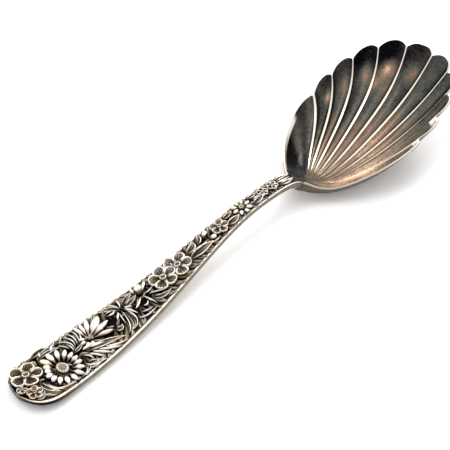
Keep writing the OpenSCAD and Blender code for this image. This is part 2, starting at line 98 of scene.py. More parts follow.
class SpoonSizes(bpy.types.PropertyGroup):
    spoon_len: length("Length", "From the handle's end to the bowl's tip", 155)
    bowl_len: length("Bowl length", "Along the bowl's own rim, from the heel to the tip", 59.4)
    bowl_w: length("Bowl width", "Across the bowl", 41.4)
    bowl_depth: length("Bowl depth", "Below the bowl's rim", 8.1)
    bowl_wall: length("Bowl wall", "Thickness of the bowl's wall", 1)
    bowl_tilt: angle("Bowl tilt", "Slope of the rim above the table", 19.5)
    flute_depth: length("Flute depth", "Below the ridges beside each flute", 0.9)
    scallop_depth: length("Scallop depth", "Of the rim's notches at the ridges", 1.5)
    foot_depth: length("Foot", "Depth of the flat under the bowl", 0.2)
    heel_rise: length("Heel rise", "Of the heel's rim, square to the bowl's rim", 4.8)
    ridge_w: length("Ridge width", "Of the polished band along each ridge, at its widest", 1.45)
    terminal_w: length("Terminal width", "Of the handle near its end", 15.8)
    neck_w: length("Neck width", "Of the handle at the neck", 5.2)
    terminal_thick: length("Terminal thickness", "Of the handle near its end", 2.2)
    neck_thick: length("Neck thickness", "Of the handle at the neck", 2.8)
    neck_rise: length("Crest", "Height of the neck's crest above the table", 9.9)
    tip_lift: length("End lift", "Rise of the handle's very end", 1.2)
    border_w: length("Border", "Width of the plain border beside the terminal", 0.8)
    neck_border_w: length("Neck border", "Width of the plain border at the neck", 0.45)
    ground_sink: length("Ground", "Depth of the ground below the border", 0.35)
    ground_crown: length("Crown", "Rise of the ground's middle above its edges", 0.3)
    flower_h: length("Flowers", "Height of the flowers above the ground", 1.1)
    leaf_h: length("Leaves", "Height of the leaves above the ground", 0.75)
    solder_film: length("Film", "Thickness of the solder under the ornament", 0.06)


class SilverColours(bpy.types.PropertyGroup):
    polished: colour("Polished silver", "Rubbed petals, leaves and borders", "#F4EFE6")
    worn: colour("Handled silver", "Silver with the grey of use", "#B5ABA0")
    ridge: colour("Ridges", "The rubbed ridges of the bowl", "#EBE1D3")
    # This golden tone is the thinnest film and the colour of the painted glints in the bowl
    gold: colour("Gold tarnish", "The thinnest film, in a few rubbed spots", "#CDAA8E")
    straw: colour("Straw tarnish", "The film of the bowl's floor by the heel", "#957B65")
    rose: colour("Rose tarnish", "The pink brown around the floor", "#7F6A5D")
    brown: colour("Brown tarnish", "The brown of the bowl's middle", "#6A5B4C")
    olive: colour("Olive tarnish", "The green grey of thicker tarnish", "#59554A")
    slate: colour("Slate tarnish", "The blue grey of thicker tarnish", "#424846")
    plum: colour("Plum tarnish", "The brown black between slate and blue", "#3B312E")
    navy: colour("Blue tarnish", "The blue black at the ends of the lobes", "#1C1E24")
    bronze: colour("Bronze recess", "Oxide rubbed thin", "#6A6252")
    umber: colour("Brown recess", "Oxide that is half rubbed away", "#332B25")
    oxide: colour("Oxide", "The black of the recesses", "#0B0A0A")
    paper: colour("Paper", "The table's white paper", "#FDFDFD")


class StageSettings(bpy.types.PropertyGroup):
    azimuth: angle("Azimuth", "Of the camera, from -Y towards +X", 46.45)
    elevation: angle("Elevation", "Of the camera above the table", 39.09)
    roll: angle("Roll", "Of the camera about its own line of sight", -4.72)
    distance: length("Distance", "From the camera to the point that it looks at", 268.57)
    aim: bpy.props.FloatVectorProperty(name="Aim", description="Point that the camera looks at", size=3,
                                       default=[mm * MM for mm in (-6.97, -2.83, 0.65)],
                                       subtype="TRANSLATION", unit="LENGTH")
    focal: bpy.props.FloatProperty(name="Lens", description="Focal length on a 36 mm sensor, in mm",
                                   default=80.0)


# Helpers

def smooth(t):
    """Smooth step: three t squared less two t cubed, held between 0 and 1."""
    c = np.clip(t, 0, 1)
    return c * c * (3 - 2 * c)


def ease(x, start, run):
    """A smooth step from 0 to 1 that begins at start and takes a run."""
    return smooth((x - start) / run)


def mix(p, q, t):
    return p + (q - p) * t


def unit(v):
    return v / np.linalg.norm(v, axis=-1, keepdims=True)


def bump_at(x, centre, half_width):
    """A bell of height one: e to the minus square of the distance in half-widths."""
    return np.exp(-((x - centre) / half_width) ** 2)


# The bowl's shape, in its own frame: x across, y from the heel to the tip, z square to the rim.
# Its grid's columns run from the fan's foot to the rim and are of three kinds

FLUTE, PANEL, ROOT = 0, 1, 2
LOBES = 11
# A slope is taken over the spoon's length divided by this
SLOPE_STEPS = 20000
TINY = 1e-6


class Bowl:
    """Shares and powers that give the bowl its outline, hollow and flutes."""
    belly, fan = 0.525, 0.07
    heel_power, tip_power, depth_power = 1.7, 2.45, 2.8
    ramp_power, ramp, shoulder, shoulder_power = 1.8, 0.17, 0.31, 4
    flare_mid, flare_side, fan_power, flare_power = 0.28, 0.10, 0.71, 6
    lobe_swell, lobe_power, panel_notch_power = 0.86, 2.4, 8
    flute_run, root_width, root_power, root_edge = 0.55, 1.1, 4, 0.48
    ridges = np.array([0.108, 0.388, 0.64, 0.844, 1]) * 90
    panel, panel_flute, panel_lift, lift_power = 0.89, 0.25, 0.12, 5
    rim_thin, rim_run = 0.4, (0.75, 0.25)
    band_foot, band_place, band_power, band_limits = 0.3, 1.3, 0.9, (0.05, 0.34)
    band_right, band_turn = 0.5, (0, 80)
    inside_rows, outside_rows, rim_rows, belly_rows = 110, 30, 7, (0.05, 1, 60)
    flute_steps, panel_steps, root_steps = 40, 44, 20

    def __init__(self, z):
        self.z = z
        self.mid = self.belly * z.bowl_len
        self.fan_y = self.fan * z.bowl_len
        self.ramp_len = self.ramp * z.bowl_len
        self.shoulder_w = self.shoulder * z.bowl_w / 2
        side_lean = math.atan(z.bowl_depth * self.depth_power / (z.bowl_w / 2))
        swell = z.bowl_wall + self.lobe_swell * z.flute_depth
        self.half_w = z.bowl_w / 2 - swell * math.sin(side_lean)
        self.root_half_w = self.root_width * z.neck_w / 2
        self.step = z.spoon_len / SLOPE_STEPS
        self.root_normal = self.normal(np.zeros(1), np.zeros(1))[0]
        tip_lean = z.bowl_tilt + math.atan(z.bowl_depth * self.depth_power / (z.bowl_len - self.mid))
        self.heel_y = (z.spoon_len / 2 - z.bowl_len * math.cos(z.bowl_tilt)
                       - (z.bowl_wall + z.flute_depth) * math.sin(tip_lean))
        self.lay_columns()
        self.rim_x, self.rim_y = self.rim()
        outside = self.tilted(self.outside(*self.plan(np.linspace(*self.belly_rows)[:, None])))
        self.heel_z = -outside[..., 2].min() - z.foot_depth

    def lay_columns(self):
        """Lays the columns of the grid round the rim: angle from the tip, side, share and kind.
        A flute has its share across it, a side panel runs beside the heel, and the root is the
        line where the handle joins."""
        n, m, r = self.flute_steps, self.panel_steps, self.root_steps
        first = self.ridges[0]
        steps = (1 - np.cos(np.pi * np.arange(n) / n)) / 2
        half = [(first * (2 * t - 1), 1, t, FLUTE) for t in steps[n // 2:]]
        flutes = [(mix(a, b, t), 1, t, FLUTE)
                  for a, b in zip(self.ridges[:-1], self.ridges[1:]) for t in steps]
        panel = [(90 + 90 * self.panel * t, 1, t, PANEL) for t in np.arange(m + 1) / m]
        right = half + flutes + panel
        root = [(180, 1, 1 - 2 * i / r, ROOT) for i in range(r + 1)]
        left = [(a, -1, t, k) for a, _, t, k in right[:0:-1]]
        self.angle, self.side, self.share, self.kind = np.array(right + root + left, float).T
        self.turn = self.angle * self.side

    def spread(self, x, y):
        """Share of the way out to the outline: a superellipse with its own power at each end."""
        p = np.where(y < self.mid, self.heel_power, self.tip_power)
        reach = np.where(y < self.mid, self.mid, self.z.bowl_len - self.mid)
        return ((np.abs(x) / self.half_w) ** p + (np.abs(y - self.mid) / reach) ** p) ** (1 / p)

    def hollow(self, x, y):
        """The inside before the flutes: a hollow with a ramp up to the handle."""
        ramp = np.maximum(0, (self.ramp_len - y) / self.ramp_len) ** self.ramp_power
        return (-self.z.bowl_depth * (1 - self.spread(x, y) ** self.depth_power)
                + self.z.heel_rise * ramp / (1 + (x / self.shoulder_w) ** self.shoulder_power))

    def normal(self, x, y):
        """Upward unit normal of the hollow, from its slopes over one step."""
        s = self.step
        dx = (self.hollow(x + s, y) - self.hollow(x - s, y)) / (2 * s)
        dy = (self.hollow(x, y + s) - self.hollow(x, y - s)) / (2 * s)
        return unit(np.stack([-dx, -dy, np.ones_like(dx)], -1))

    def rim(self):
        """The rim in plan: the outline less a notch at each ridge, and a straight line at the heel."""
        a = np.radians(self.angle)
        heelward = self.angle > 90
        p = np.where(heelward, self.heel_power, self.tip_power)
        x = self.half_w * np.abs(np.sin(a)) ** (2 / p)
        far = np.where(heelward, -self.mid, self.z.bowl_len - self.mid)
        y = self.mid + far * np.abs(np.cos(a)) ** (2 / p)
        blunt = (x ** self.root_power + self.root_half_w ** self.root_power) ** (1 / self.root_power)
        edge = np.stack([np.where(heelward, blunt, x), y], -1)
        out = unit(edge - [0, self.fan_y])
        edge = edge - out * self.z.scallop_depth * self.notch()[:, None]
        root = self.kind == ROOT
        return (np.where(root, self.root_half_w * self.share, self.side * edge[:, 0]),
                np.where(root, 0, edge[:, 1]))

    def lobe(self, t):
        """Depth across a flute: one less a power of the distance from its middle."""
        return 1 - np.abs(2 * t - 1) ** self.lobe_power

    def notch(self):
        """Depth of the rim's notches: full at each ridge, none in a flute's middle."""
        return np.select([self.kind == FLUTE, self.kind == PANEL],
                         [1 - self.lobe(self.share), (1 - self.share) ** self.panel_notch_power], 0)

    def plan(self, u):
        """Runs each column from the fan's foot (u = 0) to the rim (u = 1), flaring as it nears it."""
        flare = mix(self.flare_mid, self.flare_side, ease(self.angle, 0, 90))
        x = self.rim_x * ((1 - flare) * u ** self.fan_power + flare * u ** self.flare_power)
        return x, mix(self.fan_y, self.rim_y, u), u

    def band(self, u):
        """Half-width of a ridge's polished band, as a share of half a flute."""
        run = np.hypot(self.rim_x, self.rim_y - self.fan_y)
        flute = run * u * math.radians(180) / LOBES / 2
        swell = np.sin(np.pi * np.clip(u, 0, 1) ** self.band_place) ** self.band_power
        narrow = mix(self.band_foot, 1, swell) * mix(1, self.band_right, ease(self.turn, *self.band_turn))
        return np.clip(self.z.ridge_w * narrow / 2 / np.maximum(flute, TINY), *self.band_limits)

    def across(self, u):
        """Distance from the middle of a flute (0) to its ridge (1), for every column."""
        flute = np.abs(2 * self.share - 1)
        panel = np.clip(1 - 2 * np.sqrt(np.maximum(self.share, 0)), 0, 1)
        return np.select([self.kind == FLUTE, self.kind == PANEL], [flute, panel], 0) + 0 * u

    def dip(self, u):
        """Depth of the flutes: nothing on the ridge's band, one in the middle of a flute."""
        flute = 1 - np.clip(self.across(u) / (1 - self.band(u)), 0, 1) ** self.lobe_power
        panel = self.lobe(np.sqrt(np.clip(self.share, 0, 1)))
        beside = (self.kind == PANEL) & (self.share < self.panel_flute)
        return np.where((self.kind == FLUTE) | beside, flute, np.where(self.kind == PANEL, panel, 0))

    def rooted(self, u, point, root):
        """Puts the points of the root's columns at the rim on the handle's own section."""
        return np.where(((self.kind == ROOT) & (u >= 1))[..., None], root, point)

    def inside(self, x, y, u):
        """The hollow with each flute sunk along its normal, and the side panels raised towards the
        rim by a power of u times half a sine wave."""
        fall = self.z.flute_depth * ease(u, 0, self.flute_run) * self.dip(u)
        lift = self.panel_lift * self.z.bowl_depth * u ** self.lift_power
        lift = lift * np.sin(np.pi * self.share) * (self.kind == PANEL)
        point = np.stack([x, y, self.hollow(x, y) + lift], -1) - self.normal(x, y) * fall[..., None]
        root = np.stack([x, np.zeros_like(x), np.full_like(x, self.z.heel_rise)], -1)
        return self.rooted(u, point, root)

    def wall(self, x, y):
        """Thickness of the bowl's wall, which grows to the neck's on the ramp."""
        ramp = (1 - ease(y, 0, self.ramp_len)) / (1 + (x / self.shoulder_w) ** self.shoulder_power)
        return mix(self.z.bowl_wall, self.z.neck_thick, ramp)

    def section_under(self, t, thick):
        """Underside of the handle's section below its flat top: a shallow bow with upright edges."""
        return -thick * mix(self.root_edge, 1, 1 - t * t)

    def outside(self, x, y, u):
        """The inside moved out along the normal by the wall, which thins at the rim."""
        inside = self.inside(x, y, u)
        thin = 1 - self.rim_thin * ease(u, *self.rim_run) * (self.kind < ROOT)
        point = inside - self.normal(x, y) * (self.wall(x, y) * thin)[..., None]
        root = inside + self.root_normal * self.section_under(self.share, self.z.neck_thick)[:, None]
        return self.rooted(u, point, root)

    def tilted(self, p):
        c, s = math.cos(self.z.bowl_tilt), math.sin(self.z.bowl_tilt)
        return np.stack([p[..., 0], p[..., 1] * c - p[..., 2] * s, p[..., 1] * s + p[..., 2] * c], -1)

    def placed(self, p):
        """Sets the tilted bowl on the table, where its foot is cut flat."""
        q = self.tilted(p) + [0, self.heel_y, self.heel_z]
        q[..., 2] = np.maximum(0, q[..., 2])
        return q


# The handle's shape: stations along it are shares s, places across it are shares t of its half-width

class Handle:
    """Shares and powers that give the handle its arch, width, border and sunk ground."""
    flat, crest, arch_power = 0.16, 0.837, 1.25
    cap, cap_power, blunt = 0.078, 2.4, 0.02
    taper_start, taper, taper_power, root_flare = 0.077, 0.76, 1.05, 0.15
    border_limit, ground_end, ground_run = 0.4, 0.985, 0.04
    sheet_wide, sheet_narrow, sheet_edge = 0.1664, 0.0534, 0.97

    def __init__(self, z, bowl):
        self.z, self.bowl = z, bowl
        self.end_y = -z.spoon_len / 2
        normal = bowl.root_normal
        self.root_top = bowl.tilted(np.array([0, 0, z.heel_rise])) + [0, bowl.heel_y, bowl.heel_z]
        self.root_dir = bowl.tilted(np.array([0, normal[2], -normal[1]]))
        self.root_up = bowl.tilted(normal)
        self.len = self.root_top[1] - self.end_y
        self.flat_y = self.end_y + self.flat * self.len
        self.crest_y = self.end_y + self.crest * self.len
        self.drop = z.neck_rise - self.root_top[2]
        slope = self.root_dir[2] / self.root_dir[1]
        self.drop_power = -slope * (self.root_top[1] - self.crest_y) / self.drop
        self.step = z.spoon_len / SLOPE_STEPS

    def arch(self, y):
        """Height of the top edges: a flat terminal, a smooth rise to the crest, a drop to the heel."""
        z = self.z
        lift = np.maximum(0, self.flat_y - y) / (self.flat_y - self.end_y)
        rise = np.clip((y - self.flat_y) / (self.crest_y - self.flat_y), 0, 1)
        fall = np.maximum(0, y - self.crest_y) / (self.root_top[1] - self.crest_y)
        body = mix(z.terminal_thick, z.neck_rise, smooth(rise ** self.arch_power))
        return body + z.tip_lift * lift ** 2 - self.drop * fall ** self.drop_power

    def face_normal(self, y):
        """Upward unit normal of the top, from the arch's slope over one step."""
        q = np.minimum(y, self.root_top[1] - self.step)
        slope = (self.arch(q + self.step) - self.arch(q - self.step)) / (2 * self.step)
        slope = np.where(y <= self.flat_y, 0, slope)
        return unit(np.stack([np.zeros_like(slope), -slope, np.ones_like(slope)], -1))

    def tapered(self, s, wide, narrow):
        """Half-width at a share along the handle: round at the end, then an even taper."""
        t = np.clip((s - self.taper_start) / self.taper, 0, 1) ** self.taper_power
        body = mix(wide, narrow, smooth(t)) / 2
        short = np.clip((1 - self.blunt) * (self.cap - s) / self.cap, 0, 1)
        return body * (1 - short ** self.cap_power) ** (1 / self.cap_power)

    def half_w(self, s):
        """Half-width of the handle, which flares to the root's where it meets the bowl."""
        flare = smooth((s - 1 + self.root_flare) / self.root_flare)
        return self.tapered(s, self.z.terminal_w, self.z.neck_w) + (
            self.bowl.root_half_w - self.z.neck_w / 2) * flare

    def neckness(self, s):
        """How far the taper has gone, from terminal (0) to neck (1)."""
        return ease(s, self.taper_start, self.taper)

    def border(self, s):
        width = mix(self.z.border_w, self.z.neck_border_w, self.neckness(s))
        return np.minimum(width, self.half_w(s) * self.border_limit)

    def thick(self, s):
        return mix(self.z.terminal_thick, self.z.neck_thick, self.neckness(s))

    def ground(self, s, t):
        """Depth of the sunk ground: crowned between the borders, run out before the heel."""
        b = 1 - self.border(s) / self.half_w(s)
        sunk = smooth((self.ground_end - s) / self.ground_run)
        crown = self.z.ground_crown * (1 - (t / b) ** 2) * self.half_w(s) / (self.z.terminal_w / 2)
        return np.where(np.abs(t) >= b, 0, sunk * (crown - self.z.ground_sink))

    def line(self, s, t):
        """The top edges' level at a station, before the ground is sunk."""
        y = self.end_y + s * self.len + 0 * t
        return np.stack([t * self.half_w(s), y, self.arch(y)], -1)

    def on_face(self, s, t, h):
        """A point at a height above the sunk ground."""
        rise = (self.ground(s, t) + h)[..., None]
        return self.line(s, t) + self.face_normal(self.end_y + s * self.len) * rise

    def on_sheet(self, a, b, h):
        """Places a point of the ornament's sheet, whose two directions are shares of the length."""
        a = np.clip(a, 0, 1)
        stretch = self.tapered(a, self.z.terminal_w, self.z.neck_w) / self.half_w(a)
        t = b / self.tapered(a, self.sheet_wide, self.sheet_narrow) * stretch
        return self.on_face(a, np.clip(t, -self.sheet_edge, self.sheet_edge), h + self.z.solder_film)


# Meshes: every solid is a shell, a grid that closes round its columns and ends in two poles

def shell(points, poles, values, pole_values):
    """Closes a grid of rows and columns into one solid and gives its faces outward."""
    rows, cols = points.shape[:2]
    index = np.arange(rows * cols).reshape(rows, cols)
    right = np.roll(index, -1, axis=1)
    quads = np.stack([index[:-1], index[1:], right[1:], right[:-1]], -1).reshape(-1, 4)
    first = np.stack([np.full(cols, rows * cols), index[0], right[0]], -1)
    last = np.stack([np.full(cols, rows * cols + 1), right[-1], index[-1]], -1)
    verts = np.concatenate([points.reshape(-1, 3), np.asarray(poles)])
    tris = np.concatenate([first, last])
    fan = np.concatenate([quads[:, [0, 1, 2]], quads[:, [0, 2, 3]], tris])
    a, b, c = (verts[fan[:, k]] for k in range(3))
    if np.einsum("ij,ij->i", a, np.cross(b, c)).sum() < 0:
        quads, tris = quads[:, ::-1], tris[:, ::-1]
    return {"verts": verts, "quads": quads, "tris": tris,
            "values": {k: np.concatenate([v.ravel(), pole_values[k]]) for k, v in values.items()}}


def make_piece(name, shells, material, node):
    """Puts the shells of one piece into one mesh, with their values as attributes of its points."""
    offsets = np.cumsum([0] + [len(s["verts"]) for s in shells[:-1]])
    verts = np.concatenate([s["verts"] for s in shells])
    quads, tris = (np.concatenate([s[key] + o for s, o in zip(shells, offsets)]) for key in ("quads", "tris"))
    mesh = bpy.data.meshes.new(name)
    mesh.vertices.add(len(verts))
    mesh.vertices.foreach_set("co", verts.astype(np.float32).ravel())
    loops = np.concatenate([quads.ravel(), tris.ravel()])
    mesh.loops.add(len(loops))
    mesh.loops.foreach_set("vertex_index", loops.astype(np.int32))
    sizes = np.concatenate([np.full(len(quads), 4), np.full(len(tris), 3)])
    mesh.polygons.add(len(sizes))
    mesh.polygons.foreach_set("loop_start", (np.cumsum(sizes) - sizes).astype(np.int32))
    mesh.polygons.foreach_set("use_smooth", np.ones(len(sizes), bool))
    mesh.update(calc_edges=True)
    for key in shells[0]["values"]:
        values = np.concatenate([s["values"][key] for s in shells]).astype(np.float32)
        mesh.attributes.new(key, "FLOAT", "POINT").data.foreach_set("value", values)
    if mesh.validate():
        raise RuntimeError(f"{name} had bad faces")
    mesh.materials.append(material)
    piece = bpy.data.objects.new(name, mesh)
    bpy.context.scene.collection.objects.link(piece)
    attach(piece, "root")
    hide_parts(node)


# Ornament: blades for leaves, strands and petals, and round buttons

BLADE_GRID, FROND_GRID, UNDERSIDE_COLUMNS = (30, 17), (13, 9), 5


def blade(handle, line, width, h, outline, relief, lean=0.0, grid=BLADE_GRID):
    """A leaf or petal on a curved line of the sheet, closed by a flat underside.
    outline(u) gives its half-width, relief(u, v) its height and its polish, both as shares,
    and lean lifts one side over the other, so that petals lap."""
    u = ((1 - np.cos(np.linspace(0, np.pi, grid[0]))) / 2)[:, None]
    v = np.sin(np.linspace(-np.pi / 2, np.pi / 2, grid[1]))[None, :]
    p0, p1, p2 = (np.array(p) for p in line)
    middle = p0 * ((1 - u) ** 2)[..., None] + p1 * (2 * u * (1 - u))[..., None] + p2 * (u ** 2)[..., None]
    along = unit((p1 - p0) * (1 - u)[..., None] + (p2 - p1) * u[..., None])
    across = np.stack([-along[..., 1], along[..., 0]], -1)
    half = (width / 2 * outline(u))[..., None]
    place = middle + across * v[..., None] * half
    height, polish = relief(u, v)
    height = height * (1 + lean * v) + 0 * v
    top = handle.on_sheet(place[..., 0], place[..., 1], h * height)
    flat_v = np.linspace(1, -1, UNDERSIDE_COLUMNS)[None, 1:-1]
    flat = middle + across * flat_v[..., None] * half
    under = handle.on_sheet(flat[..., 0], flat[..., 1], 0 * flat[..., 0])
    points = np.concatenate([top, under], 1)
    gloss = np.concatenate([polish + 0 * v, np.zeros(under.shape[:2])], 1)
    ends = [points[0].mean(0), points[-1].mean(0)]
    return shell(points, ends, {"polish": gloss}, {"polish": np.array([gloss[0].mean(), gloss[-1].mean()])})


def leaf_outline(u, skew=0.85, fullness=0.9, point=0.06):
    """A leaf, widest before its middle: a power of a half sine wave."""
    return np.maximum(point, np.sin(np.pi * u ** skew) ** fullness)


def petal_outline(u, foot=0.5, widest=0.66, end=0.34, least=0.004):
    """A round-ended petal: it widens smoothly from its foot and ends in a quarter of an ellipse."""
    far = np.clip((u - widest) / end, 0, 1)
    return mix(foot, 1, ease(u, 0, widest)) * np.sqrt(np.maximum(1 - far ** 2, least))


def lobe_outline(u):
    """A broad lobe on a narrow foot with a nearly circular end."""
    return petal_outline(u, 0.4, 0.55, 0.45, 0.0025)


def long_outline(u, foot=0.35, widest=0.5, power=3, point=0.05):
    """A long petal with a softly pointed end: one less a power of the distance past its widest."""
    far = np.clip((u - widest) / (1 - widest), 0, 1)
    return mix(foot, 1, ease(u, 0, widest)) * np.maximum(point, 1 - far ** power)


def strand_relief(u, v, root=0.08, tip=0.1, low=0.35, dull=0.5, shade=(0.3, 0.5)):
    """A round cord of metal, bright along its back and dark down both sides: the root of one less
    v squared, low and dull at its two ends."""
    edge = np.sqrt(np.clip(1 - v ** 2, 0, 1))
    ends = np.clip(np.minimum(u / root, (1 - u) / tip), 0, 1) ** 0.5
    return edge * mix(low, 1, ends), ease(edge, *shade) * mix(dull, 1, ends)


def cup_relief(outline, aspect, veins, tone, rim_at=0.2, rim_half=0.16):
    """A dished leaf or petal: a raised bright rim round a bed with a few low veins that darkens
    to its foot. The rim keeps its distance from the edge, measured in half-widths."""
    bed_rise, rim_rise, vein_rise, rim_foot, brim = 0.4, 0.6, 0.16, 0.25, 0.1
    gain, loss, rim_dull, foot_tone, tip_tone = 1.55, 0.18, 0.25, 0.3, 1.35

    def relief(u, v):
        d = np.minimum((1 - np.abs(v)) * outline(u), (1 - u) * aspect)
        rim = bump_at(d, rim_at, rim_half)
        vein = np.clip(np.cos(np.pi * veins * v), 0, 1) ** 3 * ease(d, 0, 0.5) * ease(u, 0, 0.2)
        rise = bed_rise + rim_rise * rim * ease(u, 0, rim_foot) + vein_rise * vein
        polish = np.clip(gain * rim - loss, 0, 1) * mix(rim_dull, 1, ease(u, 0, 0.35))
        bed = tone * mix(foot_tone, tip_tone, smooth(u)) * (0.6 + 0.7 * vein) * ease(d, 0, 0.15)
        return np.clip(d / brim, 0, 1) ** 0.5 * rise, np.clip(np.maximum(polish, bed), 0, 1)
    return relief


def petal_relief(creases, outline=petal_outline, foot=0.25):
    """A rubbed petal with a rounded back, a brown foot and soft creases that run along it."""
    aspect, brim, foot_rise, crease_depth, crease_shade = 4, 0.45, 0.5, 0.25, 0.35

    def relief(u, v):
        d = np.minimum((1 - np.abs(v)) * outline(u), (1 - u) * aspect)
        edge = np.clip(d / brim, 0, 1) ** 0.6
        crease = np.clip(np.cos(np.pi * creases * (v + 1)), 0, 1) ** 3
        crease = crease * ease(d, 0, 0.4) * (1 - ease(u, 0.7, 0.25))
        height = edge * mix(foot_rise, 1, ease(u, 0, 0.5)) * (1 - crease_depth * crease)
        polish = ease(edge, 0.3, 0.55) * mix(foot, 1, ease(u, 0, 0.6)) - crease_shade * crease
        return height, np.clip(polish, 0, 1)
    return relief


def clear_tip(centre, direction, other, far):
    """How far a ray from a centre runs before it meets another flower's circle."""
    if other is None:
        return far
    away = np.array(other[:2]) - centre
    along = direction @ away
    room = (other[2] + PIECE_GAP) ** 2 - away @ away + along ** 2
    return min(far, along - math.sqrt(room)) if room > 0 and along > 0 else far


def petals(handle, centre, inner, outer, angles, width, h, outline, relief, kept_clear=None, lean=0.0):
    """Petals round a centre: straight blades from an inner to an outer radius, which may differ
    from petal to petal."""
    made = []
    centre = np.array(centre)
    for a, reach in zip(np.radians(angles), np.broadcast_to(outer, len(angles))):
        d = np.array([math.cos(a), math.sin(a)])
        tip = clear_tip(centre, d, kept_clear, reach)
        line = [centre + d * inner, centre + d * (inner + tip) / 2, centre + d * tip]
        made.append(blade(handle, line, width, h, outline, relief, lean))
    return made


# A button's height and polish at places along its radius, and the radii of its rows
BUTTON_PLACES = (0, 0.3, 0.45, 0.68, 0.85, 1)
BUTTON_RISE = (0.7, 0.66, 0.62, 1.0, 0.85, 0)
BUTTON_POLISH = (0.4, 0.3, 0.45, 1.2, 1.1, 0.1)
BUTTON_ROWS = np.append(np.linspace(0.05, 0.95, 22), [0.985, 1.0])[:, None]


def button(handle, centre, radius, h, beads=0, grain=0.0, stretch=1.0):
    """A round boss: a raised ring, cut into beads, round a dished middle, stretched across the handle.
    Height and polish are profiles along the radius, and the beads' wave goes round the ring. Grain
    gives the middle small dots: a wave along the radius times a wave round it."""
    n, foot_share, middle, ring_at, ring_half = 72, 0.6, (BUTTON_RISE[0], 0.35), 0.72, 0.24
    cut, shade, dot_rise, dot_shine = 0.3, 0.65, 0.2, 0.4
    centre, r = np.array(centre), BUTTON_ROWS
    phi = 2 * np.pi * np.arange(n) / n
    d = np.stack([np.cos(phi), stretch * np.sin(phi)], -1)[None]
    between = (0.5 - 0.5 * np.cos(beads * phi)[None]) * bump_at(r, ring_at, ring_half)
    dots = grain * (0.5 + 0.5 * np.cos(5 * np.pi * r) * np.cos(6 * phi)[None]) * (1 - ease(r, 0.35, 0.1))
    height = np.interp(r, BUTTON_PLACES, BUTTON_RISE) * (1 - cut * between) + dot_rise * dots
    polish = np.interp(r, BUTTON_PLACES, BUTTON_POLISH) * (1 - shade * between) + dot_shine * dots
    at = centre + d * (radius * r)[..., None]
    top = handle.on_sheet(at[..., 0], at[..., 1], h * height)
    foot = centre + d * radius * foot_share
    under = handle.on_sheet(foot[..., 0], foot[..., 1], 0 * foot[..., 0])
    poles = handle.on_sheet(centre[[0, 0]], centre[[1, 1]], np.array([middle[0] * h, 0]))
    gloss = np.clip(np.concatenate([polish + 0 * phi, np.zeros((1, n))]), 0, 1)
    return shell(np.concatenate([top, under]), poles, {"polish": gloss}, {"polish": np.array([middle[1], 0])})


def blossom(handle, place, turn, h, kept_clear=None, tone=0.4):
    """A cupped blossom: five broad dished petals with bright rims, lapping each other round a button."""
    count, inner, eye, eye_rise, overlap, lean = 5, 0.16, 0.27, 1.12, 1.66, 0.18
    centre, radius = place[:2], place[2]
    made = petals(handle, centre, inner * radius, radius, [turn + 360 * k / count for k in range(count)],
                  overlap * radius * math.sin(math.pi / count), h, lobe_outline,
                  cup_relief(lobe_outline, 2.6, 5, tone), kept_clear, lean)
    return made + [button(handle, centre, eye * radius, eye_rise * h)]


def foliage(handle, rows, h, kind):
    """Leaves from rows of [foot, bend, tip, width], in the parts that SHEET_PARTS names."""
    outline, relief = {
        "strand": (leaf_outline, strand_relief),
        "cup": (leaf_outline, cup_relief(leaf_outline, 5, 1, 0.38)),
        "ribbed": (leaf_outline, cup_relief(leaf_outline, 8, 1, 0.42, 0.14, 0.13)),
        "bud": (petal_outline, petal_relief(2))}[kind]
    return [blade(handle, [s[0:2], s[2:4], s[4:6]], s[6], h, outline, relief)
            for s in np.array(rows) / SHEET_PARTS]


def undergrowth(handle, h):
    """Low fronds struck into the ground, half rubbed: broad ribbed strands that leave the middle of
    the handle and bend along it as they reach the border, with lengths and bends varied by sines,
    and a narrow one along the middle beside every second pair."""
    first, last, pitch, bend_at, tip_at = 0.022, 0.955, 0.0125, 0.74, 0.945

    def relief(u, v):
        edge = np.sqrt(np.clip(1 - v ** 2, 0, 1))
        rib = np.clip(np.cos(2.5 * np.pi * v), 0, 1) ** 2
        rise = mix(0.3, 1, u) * (1 - 0.7 * ease(u, 0.75, 0.25))
        return edge * (0.8 + 0.2 * rib) * rise, mix(0.4, 0.85, smooth(u)) * edge * (0.6 + 0.4 * rib)

    made = []
    for k, a in enumerate(np.arange(first, last, pitch)):
        edge = float(handle.tapered(np.array(a), handle.sheet_wide, handle.sheet_narrow))
        lines = []
        for side in (-1, 1):
            sway = edge * (0.45 * math.sin(13 * a + 1.1 * side) + 0.2 * math.sin(2.4 * k + side))
            lines.append(([[a - 0.4 * sway, side * edge * (0.12 + 0.12 * math.sin(1.7 * k))],
                           [a + 0.2 * sway, side * bend_at * edge],
                           [a + sway, side * edge * (tip_at + 0.02 * math.sin(3.1 * k))]],
                          0.0115 + 0.0035 * math.sin(1.9 * k + side)))
        if k % 2:
            low, high = (0.3 * edge * math.sin(w * k) for w in (5, 3))
            lines.append(([[a - 0.012, low], [a, 0], [a + 0.014, high]], 0.010))
        made += [blade(handle, line, width, h, long_outline, relief, grid=FROND_GRID)
                 for line, width in lines]
    return made


# Places of the ornament on its sheet: [along, across, radius] of each flower, as shares of the
# handle's length, and turns in degrees

TIP_BLOSSOM = (0.0475, -0.028, 0.042)
BORDER_BLOSSOMS = ((0.013, 0.004, 0.014), (0.0285, 0.032, 0.0205))
GREAT_DAISY = (0.1235, 0.015, 0.05)
# Inner radius of the great daisy's petals, radius of its eye, number and width of the petals
GREAT_INNER, GREAT_EYE, GREAT_PETALS, GREAT_PETAL_W = 0.0235, 0.016, 16, 0.0172
# Beads round the great daisy's eye, the strength of its dots and its stretch across the handle
GREAT_EYE_GRAIN = (14, 1.0, 1.3)
HALF_DAISY = (0.2285, -0.0095, 0.066)
